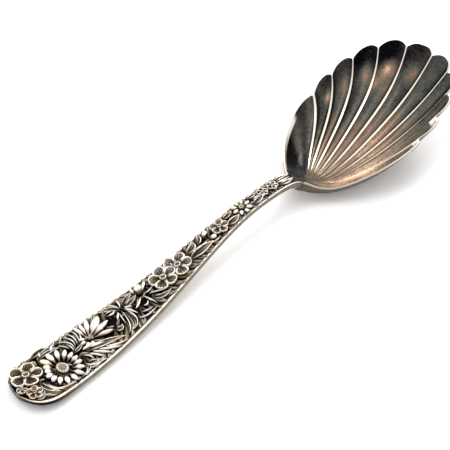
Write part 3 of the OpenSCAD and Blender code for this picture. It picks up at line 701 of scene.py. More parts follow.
# Petals of the half daisy: direction, reach and width
HALF_PETALS = ((-93, 0.0625, 0.01), (24, 0.066, 0.0155), (-76, 0.064, 0.012), (-58, 0.071, 0.0175),
               (-7, 0.074, 0.019), (-33, 0.08, 0.029))
# Its short petals: inner and outer radius as shares of the daisy's, width, and directions
HALF_BACK, HALF_BACK_TURNS = (0.1, 0.42, 0.012), (100, 140, 180, 220)
# Its beads: their radius, and their places from its centre
HALF_BEAD, HALF_BEADS = 0.0042, ((0, 0), (0.006, 0.005), (-0.004, -0.006), (0.007, -0.004))
LOWER_BLOSSOM = (0.4825, -0.006, 0.04)
UPPER_BLOSSOM = (0.5345, -0.0055, 0.04)
SMALL_BLOSSOM = (0.692, -0.0025, 0.0265)
STAR_DAISY, STAR_PETALS = (0.7805, -0.004, 0.032), 8
NECK_BLOSSOMS = ((0.864, -0.002, 0.0175), (0.903, -0.001, 0.0175))
# Room kept between a petal's tip and another flower
PIECE_GAP = 0.0012

# Leaves, strands and buds: [along, across] of the foot, the bend and the tip, then the width, all in
# this many parts of the handle's length
SHEET_PARTS = 10000

FOLIAGE = {
    "edge_acanthus": {
        "cup": ((835, -670, 1245, -780, 1485, -650, 140), (975, -510, 1395, -620, 1625, -420, 130),
                (570, 100, 500, 450, 760, 730, 140), (160, 460, 330, 700, 490, 410, 80)),
        "strand": ((530, 500, 875, 735, 1385, 715, 60), (660, 300, 660, 580, 880, 730, 60),
                   (600, 440, 740, 660, 1120, 730, 50), (1370, 740, 1610, 710, 1685, 545, 50),
                   (1460, 730, 1680, 710, 1760, 580, 40), (1100, -560, 1135, -660, 1190, -730, 90),
                   (1400, -500, 1470, -620, 1550, -680, 100), (620, -680, 800, -620, 940, -480, 60),
                   (850, -360, 910, -480, 870, -600, 50)),
        "ribbed": ((1600, 560, 1840, 700, 2165, 630, 130),)},
    "feather_leaves": {
        "strand": ((1765, -65, 1860, -220, 1770, -410, 55), (1830, -105, 1990, -450, 1640, -620, 60),
                   (1900, -160, 2070, -470, 1840, -690, 60), (1970, -180, 2150, -480, 1990, -710, 60),
                   (2040, -180, 2250, -500, 2130, -710, 60), (2100, -180, 2210, -300, 2240, -460, 70),
                   (1740, -200, 1740, -400, 1600, -520, 50), (2190, -320, 2300, -520, 2260, -700, 50)),
        "cup": ((1725, -30, 1920, -10, 2110, -130, 100),)},
    "long_acanthus": {
        "ribbed": ((1955, 140, 2415, 220, 2965, 540, 210), (1760, 450, 1840, 620, 2040, 600, 180)),
        "strand": ((1686, 460, 1780, 710, 2150, 730, 70), (1906, 520, 2010, 320, 1800, 220, 70),
                   (1960, 280, 2110, 440, 2170, 680, 80), (2060, 280, 2260, 480, 2380, 710, 90),
                   (2200, 340, 2460, 560, 2660, 690, 90), (2380, 400, 2620, 620, 2920, 650, 80),
                   (1930, 70, 2120, 30, 2310, 90, 120), (2100, 120, 2320, 180, 2485, 290, 100))},
    "crossing_leaves": {
        "ribbed": ((3425, -200, 3320, -520, 3000, -600, 150), (3450, -100, 3520, 480, 3170, 530, 150),
                   (3560, -300, 3800, -370, 4000, -430, 160), (3570, -180, 3800, -190, 4020, -240, 140)),
        "strand": ((3425, -208, 3320, 440, 3040, 550, 55), (3490, -160, 3640, 400, 3280, 550, 55),
                   (3330, -155, 3250, 100, 3200, 280, 50), (3340, -180, 3225, -100, 3140, 20, 80),
                   (3330, -300, 3200, -250, 3070, -310, 80), (3445, -260, 3430, -520, 3280, -610, 60),
                   (3460, -250, 3600, -440, 3560, -590, 70), (3510, -150, 3610, -30, 3630, 280, 70),
                   (3530, -185, 3640, -130, 3715, -30, 70), (3090, -400, 3180, -420, 3300, -340, 40)),
        "cup": ((2910, 180, 3020, 340, 3140, 190, 160),)},
    "side_bud": {
        "strand": ((3690, 104, 3860, 26, 4060, -90, 90), (4090, -50, 4160, 155, 4155, 430, 70),
                   (3520, 360, 3710, 550, 4120, 470, 50), (3710, 300, 3860, 390, 4040, 410, 50),
                   (3880, 180, 4020, 280, 4070, 120, 70), (4240, 10, 4440, 100, 4580, 260, 50),
                   (4180, -80, 4360, -60, 4500, -100, 60)),
        "ribbed": ((4200, 120, 4360, 430, 4720, 360, 140),)},
    "stem_leaves": {
        "cup": ((5640, 100, 6120, 100, 6500, 200, 280), (5700, -130, 6060, -60, 6110, -330, 230)),
        "strand": ((5900, -10, 6150, 60, 6460, 40, 60), (6180, -60, 6320, -100, 6400, -260, 60),
                   (6400, 200, 6550, 260, 6720, 220, 50))},
    "leaf_pairs": {
        "cup": ((7080, 110, 7340, 130, 7570, 120, 230), (7150, -140, 7360, -120, 7550, -160, 160),
                (8090, 130, 8360, 130, 8610, 50, 190), (8140, -140, 8340, -140, 8500, -130, 130)),
        "strand": ((8240, 0, 8380, -40, 8500, 0, 50),)},
    "neck_leaves": {
        "cup": ((9200, -80, 9450, -180, 9780, -90, 140), (9200, 90, 9450, 190, 9780, 100, 140)),
        "strand": ((9180, 0, 9450, 30, 9750, 0, 60),)},
}
BUDS = {
    "bellflower": ((4090, -200, 4170, -350, 4270, -490, 250), (4120, -180, 4300, -260, 4470, -420, 110),
                   (4010, -280, 4020, -400, 4050, -510, 110)),
    "stem_buds": ((6380, -130, 6470, -190, 6610, -240, 170), (6450, 30, 6550, 80, 6680, 110, 170)),
}


# Materials

def add(tree, kind, inputs=None, stops=(), **settings):
    """Adds one node. Settings are its properties, inputs are links or constants for its sockets, by
    name or number, and stops are the (place, colour) pairs of a colour ramp."""
    made = tree.nodes.new(kind)
    for key, value in settings.items():
        setattr(made, key, value)
    for key, value in (inputs or {}).items():
        if isinstance(value, bpy.types.NodeSocket):
            tree.links.new(value, made.inputs[key])
        else:
            made.inputs[key].default_value = value
    if stops:
        elements = made.color_ramp.elements
        while len(elements) < len(stops):
            elements.new(0.5)
        for element, (place, shade) in zip(elements, stops):
            element.position = place
            element.color = shade
    return made


# Real sizes of the finishes: clouds and fine mottling of the bowl's film, clouds and warm patches of
# the relief, and the dents of use with their depth
FILM_CLOUD, FILM_MOTTLE, RELIEF_CLOUD, RELIEF_PATCH = 5 * MM, 0.6 * MM, 0.9 * MM, 5 * MM
BOWL_DENT, RELIEF_DENT, DENT_DEPTH = 0.5 * MM, 0.3 * MM, 0.012 * MM
CLOUD_ROUGHNESS, CLOUD_DETAIL, PATCH_DETAIL, MOTTLE_DETAIL = 0.6, 3.0, 2.0, 6.0
CLOUD_STRENGTH, MOTTLE_STRENGTH = 0.44, 0.68
# Polish at which the bowl's film begins to wear and is gone, and roughness of its film and ridges
WEAR_START, WEAR_END, FILM_ROUGHNESS, RIDGE_ROUGHNESS = 0.3, 0.85, 0.3, 0.2
# Places of the bowl's nine tones along its film, from gold to oxide
FILM_STOPS = (0, 0.1, 0.25, 0.4, 0.52, 0.63, 0.75, 0.88, 1)
# Each relief finish: places of its five tones along the polish, roughness of its recesses and of its
# high parts, and the strength of its clouds
RELIEF_FINISHES = {
    "rubbed_relief_silver": ((0, 0.2, 0.42, 0.64, 0.95), 0.45, 0.25, 0.2),
    "rubbed_flower_silver": ((0, 0.2, 0.42, 0.62, 0.9), 0.45, 0.25, 0.18),
    "handle_silver_skin": ((0, 0.22, 0.45, 0.68, 0.95), 0.5, 0.36, 0.16)}
# The patches of the relief's film, from clear through grey to a warm brown
WARMTH = [(0.35, hex_to_linear("#F4F6FA")), (0.5, hex_to_linear("#FFFFFF")), (0.66, hex_to_linear("#F3E7D5"))]


def clouded(tree, place, value, size, strength, detail=CLOUD_DETAIL):
    """Adds soft clouds of a size in metres to a value: noise about its middle times a strength."""
    cloud = add(tree, "ShaderNodeTexNoise", {"Vector": place, "Scale": 1 / size, "Detail": detail,
                                             "Roughness": CLOUD_ROUGHNESS}).outputs["Fac"]
    shift = add(tree, "ShaderNodeMath", {0: cloud, 1: strength, 2: -strength / 2}, operation="MULTIPLY_ADD")
    return add(tree, "ShaderNodeMath", {0: value, 1: shift.outputs[0]}, operation="ADD",
               use_clamp=True).outputs[0]


def silver_skin(name):
    """Starts a metal material: its tree, its object coordinates and its polish attribute, which on the bowl
    and the handle also carries painted highlights and painted shade.
    """
    material = bpy.data.materials.new(name)
    material.use_nodes = True
    tree = material.node_tree
    tree.nodes.clear()
    place = add(tree, "ShaderNodeTexCoord").outputs["Object"]
    polish = add(tree, "ShaderNodeAttribute", attribute_name="polish").outputs["Fac"]
    return material, tree, place, polish


def finish_skin(tree, place, base, level, dull, bright, dent):
    """Ends a metal material: roughness from the polish, and a bump of small dents and scratches."""
    rough = add(tree, "ShaderNodeMapRange", {"Value": level, "To Min": dull, "To Max": bright})
    fine = add(tree, "ShaderNodeTexNoise", {"Vector": place, "Scale": 1 / dent, "Detail": CLOUD_DETAIL})
    dents = add(tree, "ShaderNodeBump", {"Height": fine.outputs["Fac"], "Strength": 1.0,
                                         "Distance": DENT_DEPTH})
    skin = add(tree, "ShaderNodeBsdfPrincipled", {"Base Color": base, "Roughness": rough.outputs[0],
                                                  "Normal": dents.outputs[0], "Metallic": 1.0})
    add(tree, "ShaderNodeOutputMaterial", {"Surface": skin.outputs[0]})


def oxidised_silver(name, stops, dull, bright, strength):
    """Sterling silver, struck, blackened with sulphide and rubbed back on its high parts.
    The recesses stay black and dull, and the rubbed metal is pale and bright."""
    material, tree, place, polish = silver_skin(name)
    level = clouded(tree, place, polish, RELIEF_CLOUD, strength)
    patch = add(tree, "ShaderNodeTexNoise", {"Vector": place, "Scale": 1 / RELIEF_PATCH,
                                             "Detail": PATCH_DETAIL})
    tones, warmth = (add(tree, "ShaderNodeValToRGB", {"Fac": factor}, at).outputs["Color"]
                     for factor, at in ((level, stops), (patch.outputs["Fac"], WARMTH)))
    warm = add(tree, "ShaderNodeMix", {0: 1, 6: tones, 7: warmth}, data_type="RGBA", blend_type="MULTIPLY")
    finish_skin(tree, place, warm.outputs[2], level, dull, bright, RELIEF_DENT)


def tarnished_bowl_silver(name, c):
    """Sterling silver of a fluted bowl that has tarnished in use, from straw through rose and olive
    to blue black, with the ridges and rim rubbed bright. The tarnish attribute gives its thickness,
    thinned in the painted glints, clouds of two sizes mottle it, and the polish attribute lays bare
    metal over it, on the rubbed ridges and rim and as painted highlights where the bowl faces the light."""
    material, tree, place, polish = silver_skin(name)
    film = add(tree, "ShaderNodeAttribute", attribute_name="tarnish").outputs["Fac"]
    film = clouded(tree, place, film, FILM_CLOUD, CLOUD_STRENGTH)
    film = clouded(tree, place, film, FILM_MOTTLE, MOTTLE_STRENGTH, MOTTLE_DETAIL)
    tones = (c.gold, c.straw, c.rose, c.brown, c.olive, c.slate, c.plum, c.navy, c.oxide)
    shade = add(tree, "ShaderNodeValToRGB", {"Fac": film}, list(zip(FILM_STOPS, tones))).outputs["Color"]
    bare = add(tree, "ShaderNodeMapRange", {"Value": polish, "From Min": WEAR_START, "From Max": WEAR_END},
               interpolation_type="SMOOTHSTEP").outputs[0]
    base = add(tree, "ShaderNodeMix", {0: bare, 6: shade, 7: c.ridge}, data_type="RGBA")
    finish_skin(tree, place, base.outputs[2], bare, FILM_ROUGHNESS, RIDGE_ROUGHNESS, BOWL_DENT)


def spoon_silvers(c):
    """The spoon's finishes, made once and shared."""
    if "bowl_silver_skin" not in bpy.data.materials:
        tones = (c.oxide, c.umber, c.bronze, c.worn, c.polished)
        for name, (places, dull, bright, strength) in RELIEF_FINISHES.items():
            oxidised_silver(name, list(zip(places, tones)), dull, bright, strength)
        tarnished_bowl_silver("bowl_silver_skin", c)
    return bpy.data.materials


# Operators: one for each piece or group of like pieces, and one for the stage

# Layers of the bowl's polish and film. Each is an amount, then factors: a smooth step (ease, with its
# start and run) or a bell (bump_at, with its centre and half-width) of a place. The places are along
# a lobe from heel (0) to rim (1), the turn from the tip in degrees and the share across a panel

# Painted highlights, laid as bare metal: a band along the right panel, which faces the light, and the last
# hem of the lobes that face the light
PANEL_POLISH = ((0.75, (ease, "along", 0.3, 0.3), (ease, "share", 0.02, 0.15), (ease, "share", 0.85, -0.4)),)
HEM_POLISH = ((1, (ease, "along", 0.93, 0.03), (ease, "turn", 60, 20)),
              (1, (ease, "along", 0.93, 0.03), (ease, "turn", -105, -15)))
# Film on the lobes: thin at the heel, thicker on the left and thinner on the right, black at the
# ends and most of all beside the tip, and dark in the right corner
LOBE_FILM = ((0.36,), (-0.19, (ease, "along", 0, 0.4)), (0.43, (ease, "along", 0.38, 0.4)),
             (0.16, (ease, "along", 0, 0.4), (ease, "along", 0.8, -0.2), (ease, "turn", 0, -60)),
             (-0.2, (ease, "turn", 50, 30)), (0.05, (ease, "along", 0.82, 0.14)),
             (0.4, (ease, "along", 0.82, 0.14), (bump_at, "turn", -32, 30)),
             (0.25, (ease, "along", 0.05, 0.2), (ease, "turn", 140, 30)))
# Film on the left panel: black, with a pale streak and a brown stretch
PANEL_FILM = ((1.12,), (-0.45, (bump_at, "share", 0.08, 0.1)),
              (-0.58, (bump_at, "share", 0.3, 0.16), (bump_at, "along", 0.75, 0.45)))
# Painted glints: golden highlights in the bowl, laid as spots of the thinnest film: turn and place along, the
# half-width of each, and strength
GLINTS = ((-23, 0.87, 8, 0.045, 0.85), (-31, 0.80, 6, 0.05, 0.75), (-18, 0.76, 5, 0.05, 0.3),
          (-45, 0.87, 5, 0.05, 0.75), (-64, 0.87, 3, 0.05, 0.45), (-79, 0.85, 3, 0.045, 0.8),
          (1, 0.87, 5, 0.05, 0.5))


def layered(layers, places):
    """Adds up layers, each an amount times its factors."""
    return sum(amount * math.prod(shape(places[key], at, run) for shape, key, at, run in factors)
               for amount, *factors in layers)


def spoon_shape(context):
    sizes = context.scene.spoon_sizes
    bowl = Bowl(sizes)
    return bowl, Handle(sizes, bowl)


class SPOON_OT_bowl(bpy.types.Operator):
    """Makes the fluted shell bowl"""
    bl_idname = "spoon.bowl"
    bl_label = "Shell bowl"
    rim_proud = 0.05
    # Polish from 0 (tarnished) to 1 (bare): the ridges' bands, which start dull at the heel, the rim, which
    # dims past its top and sooner by the heel, the back from rim to foot, duller towards the rim with tarnish
    # and painted shade, and the two poles
    band_reach, band_gain, ridge_heel, ridge_run = 1.3, 1.4, 0.35, (0.08, 0.3)
    heel_turn, rim_dull, rim_top = (140, 30), (0.35, 0.2), (0.7, 0.2)
    back_polish, pole_polish = (0.62, 0.25), (0.0, 0.45)
    # Film from 0 (straw) to 1 (black): how the dark panel fades in along it and over the root, a ripple round
    # the bowl, the painted glints, the rim, the back, which browns towards the rim with tarnish and painted
    # shade, and the poles
    panel_run, panel_fade, film_shift, ripple, ripple_rate = (0.03, 0.12), 0.6, 0.02, 0.09, 2.1 / 9
    floor_run, glint_film, rim_film, back_film, pole_film = (0, 0.4), -0.1, 0.42, (0.3, 0.42), (0.2, 0.3)

    def execute(self, context):
        bowl, _ = spoon_shape(context)
        u = (np.arange(1, bowl.inside_rows + 1) / bowl.inside_rows)[:, None]
        w = np.linspace(1, 0, bowl.outside_rows + 1)[:-1, None]
        turn = (np.arange(1, bowl.rim_rows + 1) / (bowl.rim_rows + 1) * np.pi)[:, None]
        inside, outside = bowl.inside(*bowl.plan(u)), bowl.outside(*bowl.plan(w))
        middle, half = (inside[-1] + outside[0]) / 2, (inside[-1] - outside[0]) / 2
        out = unit(np.stack([bowl.rim_x, bowl.rim_y - bowl.fan_y, 0 * bowl.rim_x], -1))
        proud = np.where(bowl.kind == ROOT, 0, self.rim_proud * bowl.z.bowl_wall)[:, None]
        arc = middle + half * np.cos(turn)[..., None] + out * proud * np.sin(turn)[..., None]
        points = np.clip(bowl.placed(np.concatenate([inside, arc, outside])), *CAD_BOX)
        at = np.zeros(1), np.full(1, bowl.fan_y)
        foot = np.array([0, bowl.fan_y, bowl.hollow(*at)[0]])
        poles = bowl.placed(np.stack([foot, foot - bowl.normal(*at)[0] * bowl.wall(*at)[0]]))
        flat, heelward = 0 * bowl.angle, ease(bowl.angle, *self.heel_turn)
        dim = smooth(turn / np.pi * 2 - mix(*self.rim_top, heelward))
        rim = mix(1.0, mix(*self.rim_dull, heelward), dim)
        share = np.where(bowl.kind == ROOT, 1, bowl.share)
        places = {"along": u, "turn": bowl.turn, "share": share}
        # The back darkens towards the rim: brown tarnish and painted shade under the rim
        polish = [self.polish(bowl, places), rim, mix(*self.back_polish, w) + flat]
        film = [self.film(bowl, places), self.rim_film + 0 * rim, mix(*self.back_film, w) + flat]
        body = shell(points, poles, {"polish": np.concatenate(polish), "tarnish": np.concatenate(film)},
                     {"polish": self.pole_polish, "tarnish": self.pole_film})
        skin = spoon_silvers(context.scene.spoon_colours)["bowl_silver_skin"]
        make_piece("shell_bowl", [body], skin, "bowl")
        return {"FINISHED"}

    def polish(self, bowl, places):
        """Bare metal inside: the band of each ridge, and the painted highlights of the right panel and of the
        lobes' hems that face the light.
        """
        u = places["along"]
        band = bowl.band(u)
        ridge = smooth((bowl.across(u) - (1 - self.band_reach * band)) / band * self.band_gain)
        ridge = ridge * np.where(bowl.kind == ROOT, 0, mix(self.ridge_heel, 1, ease(u, *self.ridge_run)))
        # Painted highlights: the right panel and the hems that face the light are drawn as bare metal
        lit = layered(PANEL_POLISH, places) * ((bowl.kind == PANEL) & (bowl.turn > 0))
        return np.maximum(ridge, np.maximum(lit, layered(HEM_POLISH, places) * (bowl.kind < ROOT)))

    def film(self, bowl, places):
        """Thickness of the tarnish inside, from the layers, a sine's ripple and the painted glints, golden
        highlights where the film is thinned.
        """
        u, turn, root = places["along"], places["turn"], bowl.kind == ROOT
        dark = np.select([root, bowl.kind == PANEL],
                         [smooth((1 - bowl.share) / self.panel_fade), bowl.side < 0], 0)
        film = mix(layered(LOBE_FILM, places), layered(PANEL_FILM, places), dark * ease(u, *self.panel_run))
        ripple = self.ripple * np.sin(self.ripple_rate * turn + 1) * ease(u, *self.floor_run)
        film = film + self.film_shift + ripple
        # Painted glints: golden highlights drawn by thinning the film at each spot
        for degrees, at, wide, long, strength in GLINTS:
            film = mix(film, self.glint_film, strength * bump_at(turn, degrees, wide) * bump_at(u, at, long))
        return film


class SPOON_OT_handle(bpy.types.Operator):
    """Makes the arched handle with its border and sunk ground"""
    bl_idname = "spoon.handle"
    bl_label = "Handle"
    stations, cap_stations, across, border_columns, under = 260, 39, 41, 7, 15
    # The border is a low bead, rolled off by a depth at both its edges, and the ground starts inside it
    bead_depth, bead_power, bead_end, ground_inset = 0.1 * MM, 3, (0.9, 0.1), 0.2
    # Heights of the rows down each upright side, as shares
    side_rows = np.array([0.08, 0.3, 0.65])
    frond_rise = 0.5
    # Polish of the border and its inner edge, of the sides and the underside, and the painted shade that
    # darkens the low sides by the end
    border_gain, edge_polish, edge_half = 4, 0.42, 0.12
    side_polish, side_run, end_polish, end_run, end_side = (0.5, 0.72), (0, 0.2), 0.1, (0.03, 0.1), (0.1, 0.3)
    pole_polish = (0.8, 0.8)

    def execute(self, context):
        bowl, handle = spoon_shape(context)
        z = context.scene.spoon_sizes
        n = self.cap_stations
        cap = handle.cap * (1 - np.cos(np.linspace(0, np.pi / 2, n + 1)[:-1]))
        s = np.concatenate([cap, np.linspace(handle.cap, 1, self.stations - n)])[:, None]
        b = 1 - handle.border(s) / handle.half_w(s)
        inner = np.linspace(-1, 1, self.across)[None] * (b - self.ground_inset * (1 - b))
        bead = np.linspace(0, 1, self.border_columns)[None]
        right = b + (1 - b) * bead
        t = np.concatenate([-right[:, ::-1], inner, right], 1)
        roll = np.abs(2 * bead - 1) ** self.bead_power * self.bead_depth * (1 - ease(s, *self.bead_end))
        sink = np.concatenate([-roll[:, ::-1], handle.ground(s, inner), -roll], 1)
        normal = handle.face_normal(handle.end_y + s * handle.len)
        top = handle.line(s, t) + normal * sink[..., None]
        tu, upright = self.underside()
        drop = bowl.section_under(tu, handle.thick(s)) * upright
        low = handle.line(s, tu) + normal * drop[..., None]
        low[..., 2] = np.maximum(0, low[..., 2])
        rings = np.concatenate([top, low], 1)
        heel_drop = np.concatenate([0 * t[-1], bowl.section_under(tu[0], z.neck_thick) * upright[0]])
        rings[-1] = (handle.root_top + handle.root_up * heel_drop[:, None]
                     - unit(handle.root_dir) * z.solder_film)
        rings[-1, :, 0] += np.concatenate([t[-1], tu[0]]) * bowl.root_half_w
        border = np.maximum(smooth((np.abs(t) - b) / (1 - b) * self.border_gain),
                            self.edge_polish * bump_at(np.abs(t), b, self.edge_half))
        under = mix(*self.side_polish, ease(1 - np.abs(tu), *self.side_run)) + 0 * s
        # Painted shade: the low rows of the sides near the end are darkened for the shadow under the lifted
        # end
        under = mix(under, self.end_polish, (1 - ease(s, *self.end_run)) * ease(upright, *self.end_side))
        ends = [rings[0].mean(0), rings[-1].mean(0)]
        polish = np.concatenate([border, under], 1)
        body = shell(rings, ends, {"polish": polish}, {"polish": self.pole_polish})
        skin = spoon_silvers(context.scene.spoon_colours)["handle_silver_skin"]
        fronds = undergrowth(handle, self.frond_rise * z.leaf_h)
        make_piece("arched_handle", [body] + fronds, skin, "handle")
        return {"FINISHED"}

    def underside(self):
        """Places across the underside, with three rows down each side before it turns under."""
        side = np.ones(len(self.side_rows))
        places = np.concatenate([side, np.linspace(1, -1, self.under), -side])
        upright = np.concatenate([self.side_rows, np.ones(self.under), self.side_rows[::-1]])
        return places[None], upright[None]


class SPOON_OT_flowers(bpy.types.Operator):
    """Makes the daisies, blossoms and buds of the handle"""
    bl_idname = "spoon.flowers"
    bl_label = "Flowers"
    # Heights of the middle and low flowers, and tones of the beds that are darker than usual
    mid_rise, low_rise, tip_tone, neck_tone = 0.9, 0.75, 0.3, 0.2

    def execute(self, context):
        _, handle = spoon_shape(context)
        full = context.scene.spoon_sizes.flower_h
        silvers = spoon_silvers(context.scene.spoon_colours)
        mid, low = self.mid_rise * full, self.low_rise * full
        t, lower = TIP_BLOSSOM, LOWER_BLOSSOM
        flowers = {
            "tip_blossom": blossom(handle, t, 25, full, tone=self.tip_tone),
            "border_blossoms": [b for p, a in zip(BORDER_BLOSSOMS, (50, 10))
                                for b in blossom(handle, p, a, low, t)],
            "great_daisy": self.great_daisy(handle, full, t),
            "great_daisy_eye": [button(handle, GREAT_DAISY[:2], GREAT_EYE, mid, *GREAT_EYE_GRAIN)],
            "half_daisy": self.half_daisy(handle, full, low),
            "lower_blossom": blossom(handle, lower, -3, full),
            "upper_blossom": blossom(handle, UPPER_BLOSSOM, 33, mid, lower),
            "small_blossom": blossom(handle, SMALL_BLOSSOM, 18, mid),
            "star_daisy": self.star_daisy(handle, mid, low),
            "neck_blossoms": [b for p, a in zip(NECK_BLOSSOMS, (0, 36))
                              for b in blossom(handle, p, a, low, tone=self.neck_tone)],
            "bellflower": foliage(handle, BUDS["bellflower"], mid, "bud"),
            "stem_buds": foliage(handle, BUDS["stem_buds"], low, "bud"),
        }
        for node, shells in flowers.items():
            make_piece(node + "_relief", shells, silvers["rubbed_flower_silver"], node)
        return {"FINISHED"}

    def great_daisy(self, handle, full, kept_clear, right=0.27, left=0.36, foot_tone=0.4, lean=0.2):
        """A full round of petals, longer across the handle than along it: by a share times the square
        of the sine of their turn."""
        turns = 360 * np.arange(GREAT_PETALS) / GREAT_PETALS
        across = np.sin(np.radians(turns))
        reach = GREAT_DAISY[2] * (1 + np.where(across > 0, right, left) * across ** 2)
        return petals(handle, GREAT_DAISY[:2], GREAT_INNER, reach, turns, GREAT_PETAL_W, full,
                      long_outline, petal_relief(1, long_outline, foot_tone), kept_clear, lean)

    def half_daisy(self, handle, full, low, inner=0.19, foot_tone=0.5, lean=0.12):
        """Long pointed petals fanned out of a small cluster of beads, and four short ones behind."""
        h = HALF_DAISY
        relief = petal_relief(1, long_outline, foot_tone)
        made = [b for turn, reach, width in HALF_PETALS
                for b in petals(handle, h[:2], inner * h[2], reach, [turn], width, full, long_outline,
                                relief, lean=lean)]
        made += petals(handle, h[:2], HALF_BACK[0] * h[2], HALF_BACK[1] * h[2], HALF_BACK_TURNS,
                       HALF_BACK[2], low, long_outline, relief)
        return made + [button(handle, [h[0] + d[0], h[1] + d[1]], HALF_BEAD, full) for d in HALF_BEADS]

    def star_daisy(self, handle, mid, low, inner=0.22, width=0.42, eye=0.24, foot_tone=0.3):
        """Eight small petals round a button."""
        centre, radius = STAR_DAISY[:2], STAR_DAISY[2]
        turns = [360 * k / STAR_PETALS for k in range(STAR_PETALS)]
        return petals(handle, centre, inner * radius, radius, turns, width * radius, low, long_outline,
                      petal_relief(1, long_outline, foot_tone)) + [button(handle, centre, eye * radius, mid)]


class SPOON_OT_leaves(bpy.types.Operator):
    """Makes the acanthus and other leaves of the handle"""
    bl_idname = "spoon.leaves"
    bl_label = "Leaves"
    rises = {"strand": 0.95, "cup": 1.0, "ribbed": 0.85}

    def execute(self, context):
        _, handle = spoon_shape(context)
        leaf_h = context.scene.spoon_sizes.leaf_h
        silvers = spoon_silvers(context.scene.spoon_colours)
        for node, kinds in FOLIAGE.items():
            shells = [leaf for kind, rows in kinds.items()
                      for leaf in foliage(handle, rows, leaf_h * self.rises[kind], kind)]
            make_piece(node + "_relief", shells, silvers["rubbed_relief_silver"], node)
        return {"FINISHED"}


# Brightness of the room, from behind the camera (0) to behind the spoon (1), and its bright direction
SKY = ((0, 0.35), (0.4, 0.68), (0.62, 1.15), (0.9, 1.35))
SKY_AXIS = (-0.55, 0.5, 0.67)
# The paper's half-width in spoon lengths, its roughness and its faint glow
PAPER_SPAN, PAPER_ROUGHNESS, PAPER_GLOW = 20, 0.9, 0.08
# Round lamps, aimed at the spoon: place and diameter in metres, then watts
LAMPS = {"back_softbox": ((-0.1, 0.6, 0.55), 0.35, 2.0), "top_softbox": ((-0.1, 0.0, 0.9), 0.5, 0.9)}
# Width of the camera's sensor in mm, and the nearest thing that it sees, in metres
SENSOR, NEAREST = 36, 0.01


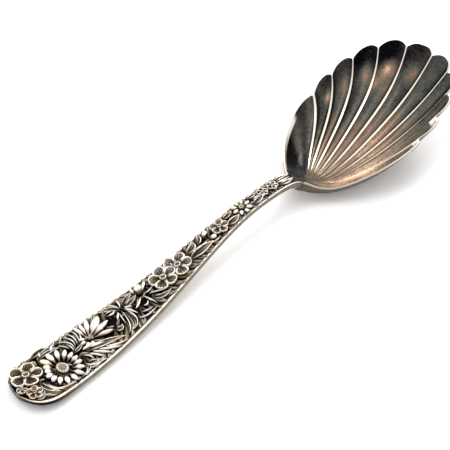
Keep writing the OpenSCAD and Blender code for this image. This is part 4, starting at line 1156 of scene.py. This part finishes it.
class SPOON_OT_stage(bpy.types.Operator):
    """Lays the paper, sets the lights and places the camera"""
    bl_idname = "spoon.stage"
    bl_label = "Stage"

    def execute(self, context):
        scene = context.scene
        scene.view_settings.view_transform = "Standard"
        self.paper(scene)
        self.sky(scene)
        self.lamps(scene)
        self.camera(scene, scene.spoon_stage)
        return {"FINISHED"}

    def paper(self, scene):
        size = PAPER_SPAN * SPOON_LEN
        mesh = bpy.data.meshes.new("paper")
        corners = [(-size, -size, 0), (size, -size, 0), (size, size, 0), (-size, size, 0)]
        mesh.from_pydata(corners, [], [(0, 1, 2, 3)])
        paper = bpy.data.objects.new("paper", mesh)
        scene.collection.objects.link(paper)
        skin = bpy.data.materials.new("matt_white_light_table")
        skin.use_nodes = True
        inputs = skin.node_tree.nodes["Principled BSDF"].inputs
        inputs["Base Color"].default_value = scene.spoon_colours.paper
        inputs["Emission Color"].default_value = scene.spoon_colours.paper
        inputs["Roughness"].default_value = PAPER_ROUGHNESS
        inputs["Emission Strength"].default_value = PAPER_GLOW
        mesh.materials.append(skin)

    def sky(self, scene):
        """A room that is bright above and behind the spoon and dim behind the camera."""
        world = bpy.data.worlds.new("studio")
        scene.world = world
        world.use_nodes = True
        tree = world.node_tree
        tree.nodes.clear()
        place = add(tree, "ShaderNodeTexCoord").outputs["Generated"]
        facing = add(tree, "ShaderNodeVectorMath", {0: place, 1: Vector(SKY_AXIS).normalized()},
                     operation="DOT_PRODUCT")
        share = add(tree, "ShaderNodeMapRange", {"Value": facing.outputs["Value"], "From Min": -1.0})
        shade = add(tree, "ShaderNodeValToRGB", {"Fac": share.outputs[0]},
                    [(at, (v, v, v, 1)) for at, v in SKY])
        back = add(tree, "ShaderNodeBackground", {"Color": shade.outputs["Color"], "Strength": 1.0})
        add(tree, "ShaderNodeOutputWorld", {"Surface": back.outputs[0]})

    def lamps(self, scene):
        for name, (place, size, watts) in LAMPS.items():
            data = bpy.data.lights.new(name, "AREA")
            data.shape = "DISK"
            data.size = size
            data.energy = watts
            lamp = bpy.data.objects.new(name, data)
            lamp.location = place
            lamp.rotation_euler = (-Vector(place)).to_track_quat("-Z", "Y").to_euler()
            scene.collection.objects.link(lamp)

    def camera(self, scene, stage):
        """Looks down at the aim point from its azimuth and elevation, rolled a little."""
        a, e, r = stage.azimuth, stage.elevation, stage.roll
        back = Vector((math.sin(a) * math.cos(e), -math.cos(a) * math.cos(e), math.sin(e)))
        right = Vector((math.cos(a), math.sin(a), 0))
        up = back.cross(right)
        right, up = right * math.cos(r) + up * math.sin(r), up * math.cos(r) - right * math.sin(r)
        data = bpy.data.cameras.new("camera")
        data.lens = stage.focal
        data.sensor_width = SENSOR
        data.clip_start = NEAREST
        camera = bpy.data.objects.new("camera", data)
        turn = Matrix((right, up, back)).transposed().to_4x4()
        camera.matrix_world = Matrix.Translation(Vector(stage.aim) + back * stage.distance) @ turn
        scene.collection.objects.link(camera)
        scene.camera = camera


class SPOON_PT_panel(bpy.types.Panel):
    """Lists the spoon's pieces, sizes and colours"""
    bl_idname = "SPOON_PT_panel"
    bl_label = "Sugar spoon"
    bl_space_type = "VIEW_3D"
    bl_region_type = "UI"
    bl_category = "Spoon"

    def draw(self, context):
        for operator in OPERATORS:
            self.layout.operator(operator.bl_idname)
        for group in (context.scene.spoon_sizes, context.scene.spoon_colours, context.scene.spoon_stage):
            for name in group.__annotations__:
                self.layout.prop(group, name)


GROUPS = {"spoon_sizes": SpoonSizes, "spoon_colours": SilverColours, "spoon_stage": StageSettings}
OPERATORS = (SPOON_OT_bowl, SPOON_OT_handle, SPOON_OT_flowers, SPOON_OT_leaves, SPOON_OT_stage)
CLASSES = (*GROUPS.values(), *OPERATORS, SPOON_PT_panel)


def register():
    for made in CLASSES:
        bpy.utils.register_class(made)
    for name, group in GROUPS.items():
        setattr(bpy.types.Scene, name, bpy.props.PointerProperty(type=group))


def unregister():
    for name in GROUPS:
        delattr(bpy.types.Scene, name)
    for made in reversed(CLASSES):
        bpy.utils.unregister_class(made)


def main():
    register()
    bpy.ops.spoon.bowl()
    bpy.ops.spoon.handle()
    bpy.ops.spoon.flowers()
    bpy.ops.spoon.leaves()
    bpy.ops.spoon.stage()


if __name__ == "__main__":
    main()
